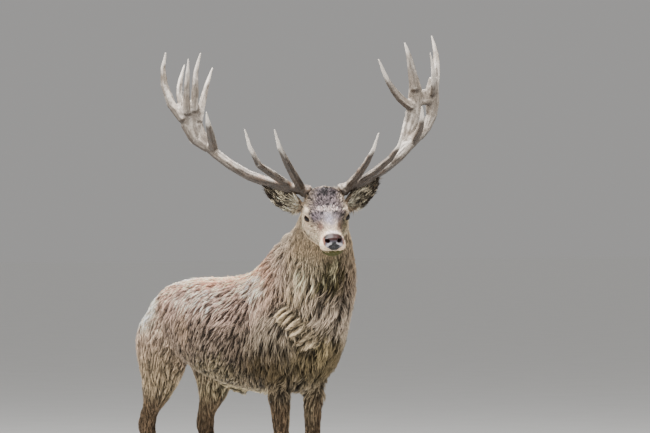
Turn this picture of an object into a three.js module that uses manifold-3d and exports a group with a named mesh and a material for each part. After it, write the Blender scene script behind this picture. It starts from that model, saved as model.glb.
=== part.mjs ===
// A red deer stag, life size and standing, as a still museum model: millimetres, +Z up.
// The stag faces -Y with its head turned towards its right side (-X); the hooves stand on Z = 0.
// The flesh is modelled whole from lofts, and thin cuts part it into named pieces.
import * as THREE from "three";
import { LoftGeometry } from "three/addons/geometries/LoftGeometry.js";
import { mergeVertices } from "three/addons/utils/BufferGeometryUtils.js";
import Module from "manifold-3d";

const wasm = await Module();
wasm.setup();

// ---------------------------------------------------------------- driving sizes
const WITHERS = 1150; // height of the shoulders, coat included
const DRAWN_WITHERS = 1150; // the height that the stations below are drawn for
const GAP = 0.35; // clearance left by each thin cut

const HEAD_AT = [-145, -650, 1332]; // midpoint between the eyes
const HEAD_TURN = -32; // degrees about Z, towards the stag's right
const HEAD_NOD = 22; // degrees, nose down
const HEAD_TILT = -2.5; // degrees, left side of the head raised

const FORE_FOOT = { left: -269, right: -278 }; // Y of each foreleg
const HIND_SWING = { left: -65, right: 65 }; // how far each hind foot stands behind its neutral place
const STANCE = 85; // sideways place of each foreleg
const HIND_STANCE = 106;

const ELBOW = 640;
const KNEE = 372;
const STIFLE = 690;
const HIP = 960;
const HOCK = 465;
const FETLOCK = 118;
const CORONET = 48;

const EYE_RADIUS = 19;
const EAR_LENGTH = 190;
const EAR_SKIN = 7;
const BURR = 29; // radius of the knobbly ring at the foot of an antler
const BEAM = 21; // radius of the main beam above it
const TINE_TIP = 2;

const COLOURS = {
  coat: 0x7d6a58,
  mane: 0x6f5d4c,
  legs: 0x5d4a3b,
  face: 0x8c7a66,
  rump: 0xa58d70,
  ear: 0x8f7f6c,
  nose: 0x2b2727,
  eye: 0x120c08,
  antler: 0xb5a48f,
  tine: 0xcfc2ae,
  hoof: 0x2a2420,
};

// ---------------------------------------------------------------- making solids
const rad = THREE.MathUtils.degToRad;
const SIDES = { left: 1, right: -1 };
const vector = (at) => new THREE.Vector3(...at);
const DOWN = [0, 0, -1];

function solidOf(geometry) {
  const bare = new THREE.BufferGeometry().copy(geometry);
  bare.deleteAttribute("normal");
  bare.deleteAttribute("uv");
  const merged = mergeVertices(bare, 1e-3);
  return new wasm.Manifold(
    new wasm.Mesh({
      numProp: 3,
      vertProperties: new Float32Array(merged.attributes.position.array),
      triVerts: new Uint32Array(merged.index.array),
    }),
  );
}

function geometryOf(solid) {
  const mesh = solid.getMesh();
  const points = new Float32Array(mesh.vertProperties);
  return new THREE.BufferGeometry()
    .setAttribute("position", new THREE.BufferAttribute(points, 3))
    .setIndex(new THREE.BufferAttribute(new Uint32Array(mesh.triVerts), 1));
}

const joined = (solids) => solids.reduce((all, next) => all.add(next));

const signedPower = (value, power) => Math.sign(value) * Math.abs(value) ** power;

// A ring is a superellipse that runs through a top and a bottom point and is widest at a level
// between them, 0 at the top and 1 at the bottom.
function ringPoints({ top, bottom, along, wide, level, square, around }) {
  const up = top.clone().sub(bottom);
  const side = up.clone().cross(along).normalize();
  const centre = top.clone().lerp(bottom, level);
  const points = [];
  for (let j = 0; j < around; j++) {
    const angle = (2 * Math.PI * j) / around;
    const c = signedPower(Math.cos(angle), 2 / square);
    const s = signedPower(Math.sin(angle), 2 / square);
    const reach = s > 0 ? level : 1 - level;
    points.push(centre.clone().addScaledVector(side, wide * c).addScaledVector(up, reach * s));
  }
  return points;
}

// A closed body through stations { top, bottom, wide, level, square }, with smooth rings between them.
// Rings lie across the spine, or across a fixed direction where along gives one.
function loft(stations, { around = 12, steps = 1, grow = 0, along = null } = {}) {
  const curve = (pick) => new THREE.CatmullRomCurve3(stations.map(pick), false, "catmullrom");
  const tops = curve((s) => vector(s.top));
  const bottoms = curve((s) => vector(s.bottom));
  const spine = curve((s) => vector(s.top).lerp(vector(s.bottom), 0.5));
  const forms = curve((s) => new THREE.Vector3(s.wide, s.level ?? 0.5, s.square ?? 2.2));
  const rows = (stations.length - 1) * steps;
  const rings = [];
  for (let i = 0; i <= rows; i++) {
    const t = i / rows;
    const [top, bottom, form] = [tops.getPoint(t), bottoms.getPoint(t), forms.getPoint(t)];
    const out = top.clone().sub(bottom).setLength(grow);
    rings.push(
      ringPoints({
        top: top.add(out),
        bottom: bottom.sub(out),
        along: along ? vector(along) : spine.getTangent(t),
        wide: form.x + grow,
        level: form.y,
        square: form.z,
        around,
      }),
    );
  }
  if (grow > 0) {
    const ends = [spine.getTangent(0).multiplyScalar(-grow), spine.getTangent(1).multiplyScalar(grow)];
    [rings[0], rings[rows]].forEach((ring, k) => ring.forEach((point) => point.add(ends[k])));
  }
  return new LoftGeometry(rings, { capStart: true, capEnd: true });
}

// A station of a limb: level with the ground, reaching fore and aft of the bone.
const limb = (x, y, height, wide, fore, aft, square = 2.2) => ({
  top: [x, y - fore, height],
  bottom: [x, y + aft, height],
  wide,
  level: fore / (fore + aft),
  square,
});

// A station across a curve: its wide axis lies across the curve and across the facing direction.
function crosswise(points, i, wide, thick, facing) {
  const last = points.length - 1;
  const along = vector(points[Math.min(i + 1, last)]).sub(vector(points[Math.max(i - 1, 0)]));
  along.normalize();
  const out = vector(facing);
  out.addScaledVector(along, -out.dot(along)).setLength(thick);
  const at = vector(points[i]);
  return {
    top: at.clone().add(out).toArray(),
    bottom: at.clone().sub(out).toArray(),
    wide,
    square: 2,
  };
}

// ---------------------------------------------------------------- frames
const turned = (nod, tilt) =>
  new THREE.Matrix4().makeRotationFromEuler(
    new THREE.Euler(rad(nod), rad(tilt), rad(HEAD_TURN), "ZXY"),
  );
const headPose = turned(HEAD_NOD, HEAD_TILT).setPosition(...HEAD_AT);
const crownPose = turned(0, 0).setPosition(...HEAD_AT); // level: out, back and up from the eyes
const earPose = turned(0, HEAD_TILT).setPosition(...HEAD_AT);

// ---------------------------------------------------------------- the flesh
// Trunk and neck are one loft, from the buttocks to the poll, between the line of the back
// and the line of the belly and throat.
function core() {
  const hoop = (top, bottom, wide, level = 0.5, square = 2.3, out = 0) => ({
    top: [out, ...top],
    bottom: [out * 1.15, ...bottom],
    wide,
    level,
    square,
  });
  return loft(
    [
      hoop([650, 905], [652, 810], 44, 0.55, 2),
      hoop([632, 956], [634, 786], 108, 0.6),
      hoop([580, 1010], [570, 770], 146, 0.6, 2.2),
      hoop([492, 1060], [500, 760], 174, 0.56),
      hoop([400, 1078], [400, 728], 186),
      hoop([290, 1085], [280, 678], 212),
      hoop([170, 1086], [150, 640], 230),
      hoop([50, 1096], [10, 616], 230),
      hoop([-40, 1112], [-110, 606], 214),
      hoop([-92, 1132], [-220, 604], 196),
      hoop([-126, 1156], [-320, 620], 184),
      hoop([-158, 1184], [-405, 668], 174),
      hoop([-192, 1212], [-465, 752], 164, 0.5, 2.3, -2),
      hoop([-236, 1242], [-520, 850], 157, 0.5, 2.2, -6),
      hoop([-290, 1274], [-572, 960], 151, 0.52, 2.1, -16),
      hoop([-352, 1306], [-602, 1070], 138, 0.54, 2, -30),
      hoop([-408, 1342], [-614, 1168], 118, 0.52, 2, -48),
      hoop([-450, 1376], [-622, 1244], 98, 0.5, 2, -66),
      hoop([-480, 1402], [-626, 1302], 84, 0.5, 2, -80),
      hoop([-500, 1424], [-616, 1350], 58, 0.5, 2, -88),
    ],
    { around: 18 },
  );
}

// Muscles that stand out of the flank: the shoulder blade and the upper arm.
const MUSCLES = [
  { y: -285, z: 930, long: 190, short: 85, slope: 62, out: 12 },
  { y: -330, z: 770, long: 120, short: 80, slope: -40, out: 14 },
];

function swell(geometry) {
  const position = geometry.attributes.position;
  for (let i = 0; i < position.count; i++) {
    const [x, y, z] = [position.getX(i), position.getY(i), position.getZ(i)];
    let out = 0;
    for (const muscle of MUSCLES) {
      const slope = rad(muscle.slope);
      const [dy, dz] = [y - muscle.y, z - muscle.z];
      const along = (dy * Math.cos(slope) + dz * Math.sin(slope)) / muscle.long;
      const across = (dz * Math.cos(slope) - dy * Math.sin(slope)) / muscle.short;
      out += muscle.out * Math.exp(-(along ** 2) - across ** 2);
    }
    position.setX(i, x + out * THREE.MathUtils.clamp(x / 120, -1, 1));
  }
  return geometry;
}

function foreLeg(side, footY) {
  const station = (out, back, ...rest) => limb(side * (STANCE + out), footY + back, ...rest);
  return loft(
    [
      station(38, -30, 830, 40, 60, 60),
      station(34, -20, 760, 52, 92, 76),
      station(18, 2, 690, 50, 78, 62),
      station(8, 4, ELBOW - 20, 44, 60, 54),
      station(2, 0, 545, 38, 46, 47),
      station(0, -4, 460, 31, 34, 34),
      station(0, -8, KNEE + 20, 34, 36, 32, 2.5),
      station(0, -8, KNEE - 16, 33, 34, 31, 2.5),
      station(0, -4, 310, 23, 25, 25),
      station(0, 0, 210, 20, 22, 26),
      station(0, 4, FETLOCK + 24, 23, 25, 31),
      station(0, 2, FETLOCK - 6, 28, 29, 34, 2.4),
      station(0, -14, 76, 25, 26, 27),
      station(0, -26, CORONET, 31, 34, 31, 2.4),
    ],
    { around: 10 },
  );
}

// Below the hip a hind leg swings with its foot; the hip stays where it is.
function hindLeg(side, swing) {
  const station = (out, y, height, ...rest) => {
    const share = THREE.MathUtils.clamp((HIP - height) / (HIP - HOCK), 0, 1);
    return limb(side * (HIND_STANCE + out), y + swing * share, height, ...rest);
  };
  return loft(
    [
      station(-36, 430, 1000, 40, 60, 60),
      station(-16, 446, 950, 72, 116, 118),
      station(0, 456, 880, 84, 156, 162),
      station(4, 458, 810, 85, 164, 174),
      station(5, 452, 745, 78, 144, 164),
      station(6, 448, STIFLE - 10, 66, 116, 138),
      station(6, 460, 620, 54, 86, 104),
      station(2, 492, 555, 40, 66, 66),
      station(0, 532, 500, 31, 42, 50),
      station(0, 542, HOCK - 15, 32, 42, 48, 2.5),
      station(0, 530, 395, 28, 34, 34),
      station(0, 520, 310, 23, 26, 28),
      station(0, 513, 210, 21, 24, 27),
      station(0, 510, FETLOCK + 24, 24, 26, 32),
      station(0, 506, FETLOCK - 6, 28, 30, 34, 2.4),
      station(0, 488, 76, 25, 26, 27),
      station(0, 476, CORONET, 31, 34, 31, 2.4),
    ],
    { around: 10 },
  );
}

function skull() {
  const hoop = (y, top, bottom, wide, level, square = 2.3) => ({
    top: [0, y, top],
    bottom: [0, y, bottom],
    wide,
    level,
    square,
  });
  return loft(
    [
      hoop(160, 34, -44, 34, 0.5),
      hoop(142, 70, -90, 62, 0.48),
      hoop(110, 95, -118, 80, 0.45),
      hoop(75, 97, -134, 94, 0.42),
      hoop(40, 88, -134, 98, 0.38),
      hoop(5, 75, -126, 90, 0.34),
      hoop(-35, 62, -112, 77, 0.34),
      hoop(-75, 50, -102, 64, 0.38),
      hoop(-115, 40, -94, 55, 0.44),
      hoop(-155, 31, -88, 50, 0.5),
      hoop(-192, 24, -84, 49, 0.54),
      hoop(-220, 20, -74, 48, 0.54, 2.5),
      hoop(-240, 14, -52, 41, 0.5, 2.5),
      hoop(-249, 4, -30, 26, 0.5, 2.5),
    ],
    { around: 16 },
  ).applyMatrix4(headPose);
}

function tail(grow = 0) {
  const station = (y, height, wide, thick, level = 0) => ({
    top: [0, y + thick, height + thick * level],
    bottom: [0, y - thick, height - thick * level],
    wide,
  });
  return solidOf(
    loft(
      [
        station(565, 985, 26, 16, 1),
        station(618, 966, 33, 18, 0.9),
        station(656, 918, 33, 19, 0.3),
        station(668, 860, 25, 15, 0.05),
        station(670, 812, 8, 6),
      ],
      { around: 10, grow },
    ),
  );
}

// The sheath is a low ridge under the belly.
function sheath() {
  const station = (y, height, wide, thick) => ({
    top: [0, y, height + thick],
    bottom: [0, y, height - thick],
    wide,
  });
  return loft(
    [
      station(330, 710, 22, 20),
      station(230, 662, 28, 26),
      station(140, 634, 28, 28),
      station(70, 612, 22, 22),
      station(36, 600, 10, 12),
    ],
    { around: 8 },
  );
}

// ---------------------------------------------------------------- antlers
// Points are [out, back, up] from the eyes, level with the ground. Each beam sweeps out, back and
// up into a crown; brow, bez and trez tines point forward off it.
const ANTLERS = {
  right: {
    beam: [
      [46, 88, 78],
      [78, 76, 112],
      [150, 92, 124],
      [226, 130, 146],
      [296, 170, 172],
      [364, 214, 214],
      [420, 244, 258],
      [468, 262, 300],
    ],
    palms: [
      [
        { at: [448, 256, 286], wide: 26, thick: 20 },
        { at: [494, 267, 328], wide: 40, thick: 17 },
        { at: [520, 262, 384], wide: 46, thick: 15 },
        { at: [528, 252, 440], wide: 46, thick: 12 },
        { at: [530, 250, 476], wide: 34, thick: 8 },
      ],
    ],
    brow: {
      root: 20,
      points: [
        [88, 84, 112],
        [128, 16, 166],
        [166, -32, 226],
        [200, -68, 288],
        [220, -88, 353],
      ],
    },
    bez: {
      root: 18,
      points: [
        [130, 92, 124],
        [212, 42, 174],
        [274, 8, 214],
        [312, -18, 284],
        [333, -30, 354],
      ],
    },
    trez: {
      root: 20,
      points: [
        [428, 250, 270],
        [448, 186, 334],
        [464, 132, 378],
        [475, 95, 425],
      ],
    },
    tips: [
      {
        root: 21,
        points: [
          [552, 254, 396],
          [600, 272, 460],
          [628, 286, 540],
          [634, 282, 610],
          [624, 265, 671],
        ],
      },
      {
        root: 16,
        points: [
          [554, 262, 430],
          [566, 290, 500],
          [560, 312, 562],
          [542, 325, 625],
        ],
      },
      {
        root: 16,
        points: [
          [540, 242, 420],
          [544, 216, 500],
          [542, 196, 572],
          [540, 180, 642],
        ],
      },
      {
        root: 18,
        points: [
          [512, 248, 430],
          [506, 244, 510],
          [504, 238, 590],
          [486, 225, 669],
        ],
      },
      {
        root: 17,
        points: [
          [490, 262, 390],
          [472, 284, 470],
          [452, 302, 544],
          [429, 315, 612],
        ],
      },
    ],
  },
  left: {
    beam: [
      [46, 88, 86],
      [80, 76, 118],
      [116, 86, 134],
      [174, 114, 154],
      [250, 158, 196],
      [322, 202, 250],
      [380, 240, 306],
      [420, 262, 346],
    ],
    palms: [
      [
        { at: [412, 260, 330], wide: 18, thick: 18 },
        { at: [446, 276, 368], wide: 18, thick: 16 },
        { at: [468, 288, 420], wide: 23, thick: 15 },
        { at: [470, 284, 474], wide: 30, thick: 13 },
        { at: [470, 276, 530], wide: 28, thick: 10 },
        { at: [472, 274, 574], wide: 17, thick: 8 },
      ],
      [
        { at: [312, 202, 240], wide: 16, thick: 14 },
        { at: [350, 240, 304], wide: 25, thick: 14 },
        { at: [376, 258, 382], wide: 30, thick: 13 },
        { at: [394, 260, 462], wide: 32, thick: 12 },
        { at: [396, 252, 530], wide: 27, thick: 10 },
        { at: [388, 248, 580], wide: 19, thick: 8 },
      ],
      [
        { at: [394, 256, 486], wide: 18, thick: 8 },
        { at: [420, 266, 490], wide: 32, thick: 9 },
        { at: [446, 274, 494], wide: 36, thick: 9 },
        { at: [474, 280, 498], wide: 16, thick: 7 },
      ],
    ],
    brow: {
      root: 18,
      points: [
        [92, 82, 124],
        [128, 22, 168],
        [156, -28, 216],
        [182, -66, 276],
        [199, -90, 340],
      ],
    },
    bez: {
      root: 18,
      points: [
        [140, 96, 142],
        [204, 52, 186],
        [262, 14, 240],
        [292, -12, 290],
        [302, -25, 336],
      ],
    },
    trez: {
      root: 19,
      points: [
        [384, 244, 306],
        [402, 190, 352],
        [408, 146, 400],
        [402, 105, 452],
      ],
    },
    tips: [
      {
        root: 20,
        points: [
          [384, 254, 448],
          [330, 242, 490],
          [280, 222, 554],
          [236, 190, 646],
        ],
      },
      {
        root: 22,
        points: [
          [394, 250, 520],
          [384, 246, 584],
          [370, 236, 650],
          [348, 225, 714],
        ],
      },
      {
        root: 12,
        points: [
          [468, 268, 500],
          [469, 242, 560],
          [463, 222, 620],
          [447, 185, 671],
        ],
      },
      {
        root: 20,
        points: [
          [476, 278, 510],
          [488, 298, 590],
          [490, 312, 670],
          [473, 320, 746],
        ],
      },
    ],
  },
};

const FACING = [0, -1, 0.2]; // the broad face of an antler looks forward

// A round, tapering tine through points, from its thick root to its tip.
function tine(points, root, grow = 0) {
  const last = points.length - 1;
  const radius = (i) => TINE_TIP + (root - TINE_TIP) * Math.cos((i / last) * 1.5);
  return loft(
    points.map((_, i) => crosswise(points, i, radius(i), radius(i), FACING)),
    { around: 5, steps: last > 3 ? 1 : 2, grow },
  );
}

function blade(stations, grow = 0) {
  const points = stations.map((s) => s.at);
  return loft(
    stations.map((s, i) => crosswise(points, i, s.wide, s.thick, FACING)),
    { around: 8, grow },
  );
}

function beam(points, grow = 0) {
  const radius = (i) => (i < 2 ? BURR - 6 : BEAM + 2 - i * 0.5);
  return loft(
    points.map((_, i) => crosswise(points, i, radius(i), radius(i), FACING)),
    { around: 8, grow },
  );
}

function burr(points, grow = 0) {
  const along = (share) => vector(points[0]).lerp(vector(points[1]), share).toArray();
  const centres = [0.68, 0.8, 0.98, 1.1].map(along);
  const radii = [BURR - 6, BURR, BURR, BURR - 7];
  return loft(
    centres.map((_, i) => crosswise(centres, i, radii[i], radii[i], FACING)),
    { around: 8, grow },
  );
}

function antler(name) {
  const side = SIDES[name];
  const place = ([out, back, up]) => [side * out, back, up];
  const plan = ANTLERS[name];
  const line = (points) => points.map(place);
  const plate = (stations) => stations.map((s) => ({ ...s, at: place(s.at) }));
  const put = (geometry) => solidOf(geometry.applyMatrix4(crownPose));

  const stem = (grow) => put(beam(line(plan.beam), grow)).add(put(burr(line(plan.beam), grow)));
  const palms = (grow) => joined(plan.palms.map((palm) => put(blade(plate(palm), grow))));
  const single = ({ points, root }, grow) => put(tine(line(points), root, grow));

  const stemRoom = stem(GAP);
  const crown = joined(plan.tips.map((tip) => single(tip, 0))).add(palms(0));
  return {
    beam: stem(0),
    crown: crown.subtract(stemRoom),
    brow_tine: single(plan.brow, 0).subtract(stemRoom),
    bez_tine: single(plan.bez, 0).subtract(stemRoom).subtract(single(plan.brow, GAP)),
    trez_tine: single(plan.trez, 0).subtract(stemRoom).subtract(palms(GAP)),
    room: stemRoom,
  };
}

// ---------------------------------------------------------------- ears, eyes, hooves
// An ear is a rolled leaf: a tube at its root that opens into a cup and closes to a point.
// Each ring goes out along the back of the leaf and returns inside it.
const EAR_HALF_WIDTHS = [
  [0, 26],
  [0.15, 37],
  [0.38, 48],
  [0.62, 45],
  [0.85, 27],
  [1, 3],
].map((p) => new THREE.Vector2(...p));

function earRing(side, share, half) {
  const columns = 6;
  const open = rad(THREE.MathUtils.lerp(150, 56, Math.min(1, share * 2.2)));
  const radius = half / Math.sin(Math.min(open, Math.PI / 2));
  const depth = Math.min(EAR_SKIN, radius * 0.8);
  const curl = 16 * share * share; // the tip bends forward
  const point = (angle, r) =>
    new THREE.Vector3(
      side * r * Math.sin(angle),
      r * Math.cos(angle) - radius - curl,
      share * EAR_LENGTH,
    );
  const outer = [];
  const inner = [];
  for (let j = 0; j < columns; j++) {
    const angle = open * ((2 * j) / (columns - 1) - 1);
    outer.push(point(angle, radius));
    inner.unshift(point(angle * 0.97, radius - depth));
  }
  const ring = [...outer, ...inner];
  return side > 0 ? ring.reverse() : ring;
}

// The frame of an ear: Z runs to its tip and -Y looks into its cup.
function earFrame(side) {
  const along = new THREE.Vector3(side * 0.79, 0.2, 0.6).normalize();
  const back = new THREE.Vector3(side * -0.32, 1, 0.25);
  back.addScaledVector(along, -back.dot(along)).normalize();
  const across = back.clone().cross(along);
  const root = new THREE.Matrix4().makeBasis(across, back, along).setPosition(side * 80, 108, 42);
  return earPose.clone().multiply(root);
}

function ear(side) {
  const outline = new THREE.SplineCurve(EAR_HALF_WIDTHS);
  const rows = 6;
  const rings = [];
  for (let i = 0; i <= rows; i++) {
    const { x, y } = outline.getPoint(i / rows);
    rings.push(earRing(side, x, y));
  }
  return solidOf(
    new LoftGeometry(rings, { capStart: true, capEnd: true }).applyMatrix4(earFrame(side)),
  );
}

function eyeball(side, grow = 0) {
  return solidOf(
    new THREE.SphereGeometry(EYE_RADIUS + grow, 9, 6)
      .translate(side * 71, -10, 7)
      .applyMatrix4(headPose),
  );
}

function nostril(side) {
  return solidOf(
    new THREE.SphereGeometry(1, 7, 4)
      .scale(9, 18, 7)
      .rotateZ(rad(side * 24))
      .rotateY(rad(side * 24))
      .translate(side * 23 + 1, -247, 2)
      .applyMatrix4(headPose),
  );
}

// One of the two claws of a cloven hoof, flat on the ground.
function claw(x, y, lean) {
  const height = CORONET - GAP;
  const level = (share, ...sizes) =>
    limb(x + lean * (17 + 1.5 * (1 - share)), y - 12 * (1 - share), height * share, ...sizes, 2.4);
  return solidOf(
    loft([level(1, 14, 33, 28), level(0.5, 15.5, 43, 31), level(0, 16, 53, 32)], {
      around: 8,
      along: DOWN,
    }),
  );
}

// The two small dewclaws hang behind the fetlock.
function dewclaw(x, y) {
  return solidOf(
    loft([limb(x, y - 14, 104, 10, 12, 10), limb(x, y, 90, 11, 12, 10), limb(x, y + 8, 70, 6, 6, 5)], {
      around: 6,
    }),
  );
}

// ---------------------------------------------------------------- thin cuts
// A cutter is a box or a prism; grow widens it for the piece that stays behind.
function cutterBox(low, high, grow, pose = new THREE.Matrix4()) {
  const size = high.map((v, k) => v - low[k] + 2 * grow);
  const middle = high.map((v, k) => (v + low[k]) / 2);
  return solidOf(new THREE.BoxGeometry(...size).translate(...middle).applyMatrix4(pose));
}

// A prism across the body: an outline of [y, z] corners, from one X to another.
function cutterPrism(corners, fromX, toX, grow, pose = new THREE.Matrix4()) {
  const centre = corners
    .reduce((sum, corner) => sum.add(new THREE.Vector2(...corner)), new THREE.Vector2())
    .divideScalar(corners.length);
  const outline = corners.map((corner) => {
    const arm = new THREE.Vector2(...corner).sub(centre);
    return arm.setLength(arm.length() + grow * 1.4).add(centre);
  });
  const depth = toX - fromX + 2 * grow;
  const bar = new THREE.ExtrudeGeometry(new THREE.Shape(outline), { depth, bevelEnabled: false });
  bar.translate(0, 0, fromX - grow);
  const axes = new THREE.Matrix4().makeBasis(
    new THREE.Vector3(0, 1, 0),
    new THREE.Vector3(0, 0, 1),
    new THREE.Vector3(1, 0, 0),
  );
  return solidOf(bar.applyMatrix4(axes).applyMatrix4(pose));
}

const stag = new THREE.Group();
const flesh = {};
let body = joined([swell(core()), skull(), sheath()].map(solidOf));

function part(name, cutter) {
  flesh[name] = body.intersect(cutter(0));
  body = body.subtract(cutter(GAP));
}

// Crumbs of a cut are dropped: a node is the largest body of its solid.
const largest = (solid) => solid.decompose().sort((a, b) => b.volume() - a.volume())[0];

function addMesh(name, solid, colour, roughness = 0.9) {
  const material = new THREE.MeshStandardMaterial({ color: colour, roughness, metalness: 0 });
  const mesh = new THREE.Mesh(geometryOf(largest(solid)), material);
  mesh.name = name;
  stag.add(mesh);
}

// ---------------------------------------------------------------- assembly
for (const [name, side] of Object.entries(SIDES)) {
  body = body.add(solidOf(foreLeg(side, FORE_FOOT[name])));
  body = body.add(solidOf(hindLeg(side, HIND_SWING[name])));
  for (const lean of [1, -1]) {
    body = body.add(dewclaw(side * STANCE + lean * 15, FORE_FOOT[name] + 34));
    body = body.add(dewclaw(side * HIND_STANCE + lean * 15, 538 + HIND_SWING[name]));
  }
}

for (const [name, side] of Object.entries(SIDES)) {
  const { room, ...pieces } = antler(name);
  body = body.add(ear(side)).subtract(room).subtract(eyeball(side, GAP)).subtract(nostril(side));
  const beyondRoot = (grow) => cutterBox([-90, -120, 26], [90, 60, 240], grow, earFrame(side));
  part(`ear_${name}`, beyondRoot);
  for (const [word, solid] of Object.entries(pieces))
    addMesh(`antler_${name}_${word}`, solid, word === "beam" ? COLOURS.antler : COLOURS.tine, 0.55);
  addMesh(`eye_${name}`, eyeball(side), COLOURS.eye, 0.08);
}
body = body.subtract(tail(GAP));
addMesh("tail", tail(), COLOURS.rump);

// Head: the nose pad and the lower jaw come out of it first.
part("nose_pad", (grow) => cutterBox([-36, -262, -33], [38, -226, 30], grow, headPose));
const JAW = [
  [-270, -46],
  [-110, -60],
  [-110, -160],
  [-270, -160],
];
part("lower_jaw", (grow) => cutterPrism(JAW, -90, 90, grow, headPose));
part("head", (grow) => cutterBox([-150, -280, -150], [150, 98, 170], grow, headPose));

// The neck ends at a plane that slopes from the withers down to the breast.
const NECK = [
  [-190, 1235],
  [-800, 850],
  [-800, 1500],
  [-190, 1500],
];
part("neck", (grow) => cutterPrism(NECK, -400, 400, grow));

const SHOULDER = [
  [-200, ELBOW - 40],
  [-165, 720],
  [-130, 1040],
  [-270, 1040],
  [-500, 800],
  [-420, ELBOW - 40],
];
const THIGH = [
  [215, STIFLE - 40],
  [250, 860],
  [360, 1000],
  [560, 1000],
  [760, 880],
  [760, STIFLE - 40],
];
for (const [name, side] of Object.entries(SIDES)) {
  const across = (inside, outside) => (side > 0 ? [inside, outside] : [-outside, -inside]);
  const slice = (fore, aft, low, high) => (grow) => {
    const [fromX, toX] = across(GAP, 400);
    return cutterBox([fromX, fore, low], [toX, aft, high], grow);
  };
  part(`fore_${name}_pastern`, slice(-620, 60, 20, FETLOCK));
  part(`fore_${name}_cannon`, slice(-620, 60, FETLOCK, KNEE));
  part(`fore_${name}_forearm`, slice(-620, 60, KNEE, ELBOW - 40));
  part(`fore_${name}_shoulder`, (grow) => cutterPrism(SHOULDER, ...across(62, 300), grow));
  part(`hind_${name}_pastern`, slice(240, 800, 20, FETLOCK));
  part(`hind_${name}_cannon`, slice(240, 800, FETLOCK, HOCK));
  part(`hind_${name}_shank`, slice(240, 800, HOCK, STIFLE - 40));
  part(`hind_${name}_thigh`, (grow) => cutterPrism(THIGH, ...across(GAP, 300), grow));
}
flesh.trunk = body;

const TINTS = [
  ["nose_pad", COLOURS.nose],
  ["pastern", COLOURS.legs],
  ["cannon", COLOURS.legs],
  ["forearm", COLOURS.legs],
  ["shank", COLOURS.legs],
  ["neck", COLOURS.mane],
  ["head", COLOURS.face],
  ["jaw", COLOURS.face],
  ["ear_", COLOURS.ear],
];
for (const [name, solid] of Object.entries(flesh)) {
  const [, tint] = TINTS.find(([word]) => name.includes(word)) ?? [name, COLOURS.coat];
  addMesh(name, solid, tint);
}

for (const [name, side] of Object.entries(SIDES)) {
  const feet = [
    ["fore", side * STANCE, FORE_FOOT[name] - 26],
    ["hind", side * HIND_STANCE, 476 + HIND_SWING[name]],
  ];
  for (const [leg, x, y] of feet) {
    addMesh(`${leg}_${name}_hoof_outer`, claw(x, y, side), COLOURS.hoof, 0.5);
    addMesh(`${leg}_${name}_hoof_inner`, claw(x, y, -side), COLOURS.hoof, 0.5);
  }
}

// ---------------------------------------------------------------- placing
// The group is scaled to the withers height and stands with the middle of its box over the origin.
stag.scale.setScalar(WITHERS / DRAWN_WITHERS);
const bounds = new THREE.Box3().setFromObject(stag, true);
const centre = bounds.getCenter(new THREE.Vector3());
stag.position.set(-centre.x, -centre.y, -bounds.min.z);
stag.updateMatrixWorld(true);

export default stag;
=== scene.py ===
# %% [markdown]
# # A red deer stag in his autumn coat
# The solid model already gives every outline at its real size. This lesson dresses it: one
# living skin over the plain solids, wet fur in clumps, bone antlers, and a face worth looking at.
# Everything is in metres, in the frame of the solid model, and the stag faces -Y.

import math

import bmesh
import bpy
import numpy as np
from mathutils import Matrix, Vector
from mathutils.bvhtree import BVHTree
from mathutils.kdtree import KDTree


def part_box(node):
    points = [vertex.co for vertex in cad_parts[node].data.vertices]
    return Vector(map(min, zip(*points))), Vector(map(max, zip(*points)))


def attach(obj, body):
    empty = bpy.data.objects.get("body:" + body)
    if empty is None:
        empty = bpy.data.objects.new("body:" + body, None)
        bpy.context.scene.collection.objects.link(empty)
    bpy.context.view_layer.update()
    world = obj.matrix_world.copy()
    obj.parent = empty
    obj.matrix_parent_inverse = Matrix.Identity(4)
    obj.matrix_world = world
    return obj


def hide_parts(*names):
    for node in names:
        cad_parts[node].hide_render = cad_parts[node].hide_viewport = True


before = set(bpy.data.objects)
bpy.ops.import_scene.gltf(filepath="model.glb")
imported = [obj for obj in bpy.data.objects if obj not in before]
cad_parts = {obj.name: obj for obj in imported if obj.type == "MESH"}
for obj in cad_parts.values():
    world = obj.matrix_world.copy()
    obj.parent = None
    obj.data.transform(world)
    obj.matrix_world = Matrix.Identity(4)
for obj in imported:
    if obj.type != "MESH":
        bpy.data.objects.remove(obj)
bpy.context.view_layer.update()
random = np.random.default_rng(7)

# %% [markdown]
# ## Finding our way round the animal
# Two frames of reference make everything easier. The stag's frame has X across, Y back and Z up
# with X = 0 on the midline. The head's frame has its middle between the eyes, and turns and nods
# with the head. The eyes of the solid model say where both of them are.

# %% Frames of reference
HEAD_TURN, HEAD_NOD, HEAD_TILT = -32, 22, -2.5  # degrees
EYE_OUT, EYE_BACK, EYE_UP = EYE_MIDDLE = 0.071, -0.010, 0.007  # in the head's frame
EYE_RADIUS = 0.019
HEAD_IN_STAG = Vector((-0.145, -0.650, 1.332))


def turn(degrees, axis):
    return Matrix.Rotation(math.radians(degrees), 3, axis)


def middle(node):
    low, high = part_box(node)
    return (low + high) / 2


head_turn = turn(HEAD_TURN, "Z") @ turn(HEAD_NOD, "X") @ turn(HEAD_TILT, "Y")
eyes_between = (middle("eye_left") + middle("eye_right")) / 2
head_at = eyes_between - head_turn @ Vector((0, EYE_BACK, EYE_UP))
stag_at = np.array(head_at - HEAD_IN_STAG)
head_axes = np.array(head_turn)


def to_head(points):
    return (points - np.array(head_at)) @ head_axes


def from_head(points):
    return np.asarray(points, float) @ head_axes.T + np.array(head_at)


def to_stag(points):
    return points - stag_at


def sides(points):
    """-1 for the X of a point on the right, and 1 for all else."""
    return np.where(points[:, :1] < 0, [-1, 1, 1], [1, 1, 1])


def mirrored(points):
    return points * sides(points)


print("the stag's frame stands at", stag_at.round(4))

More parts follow.
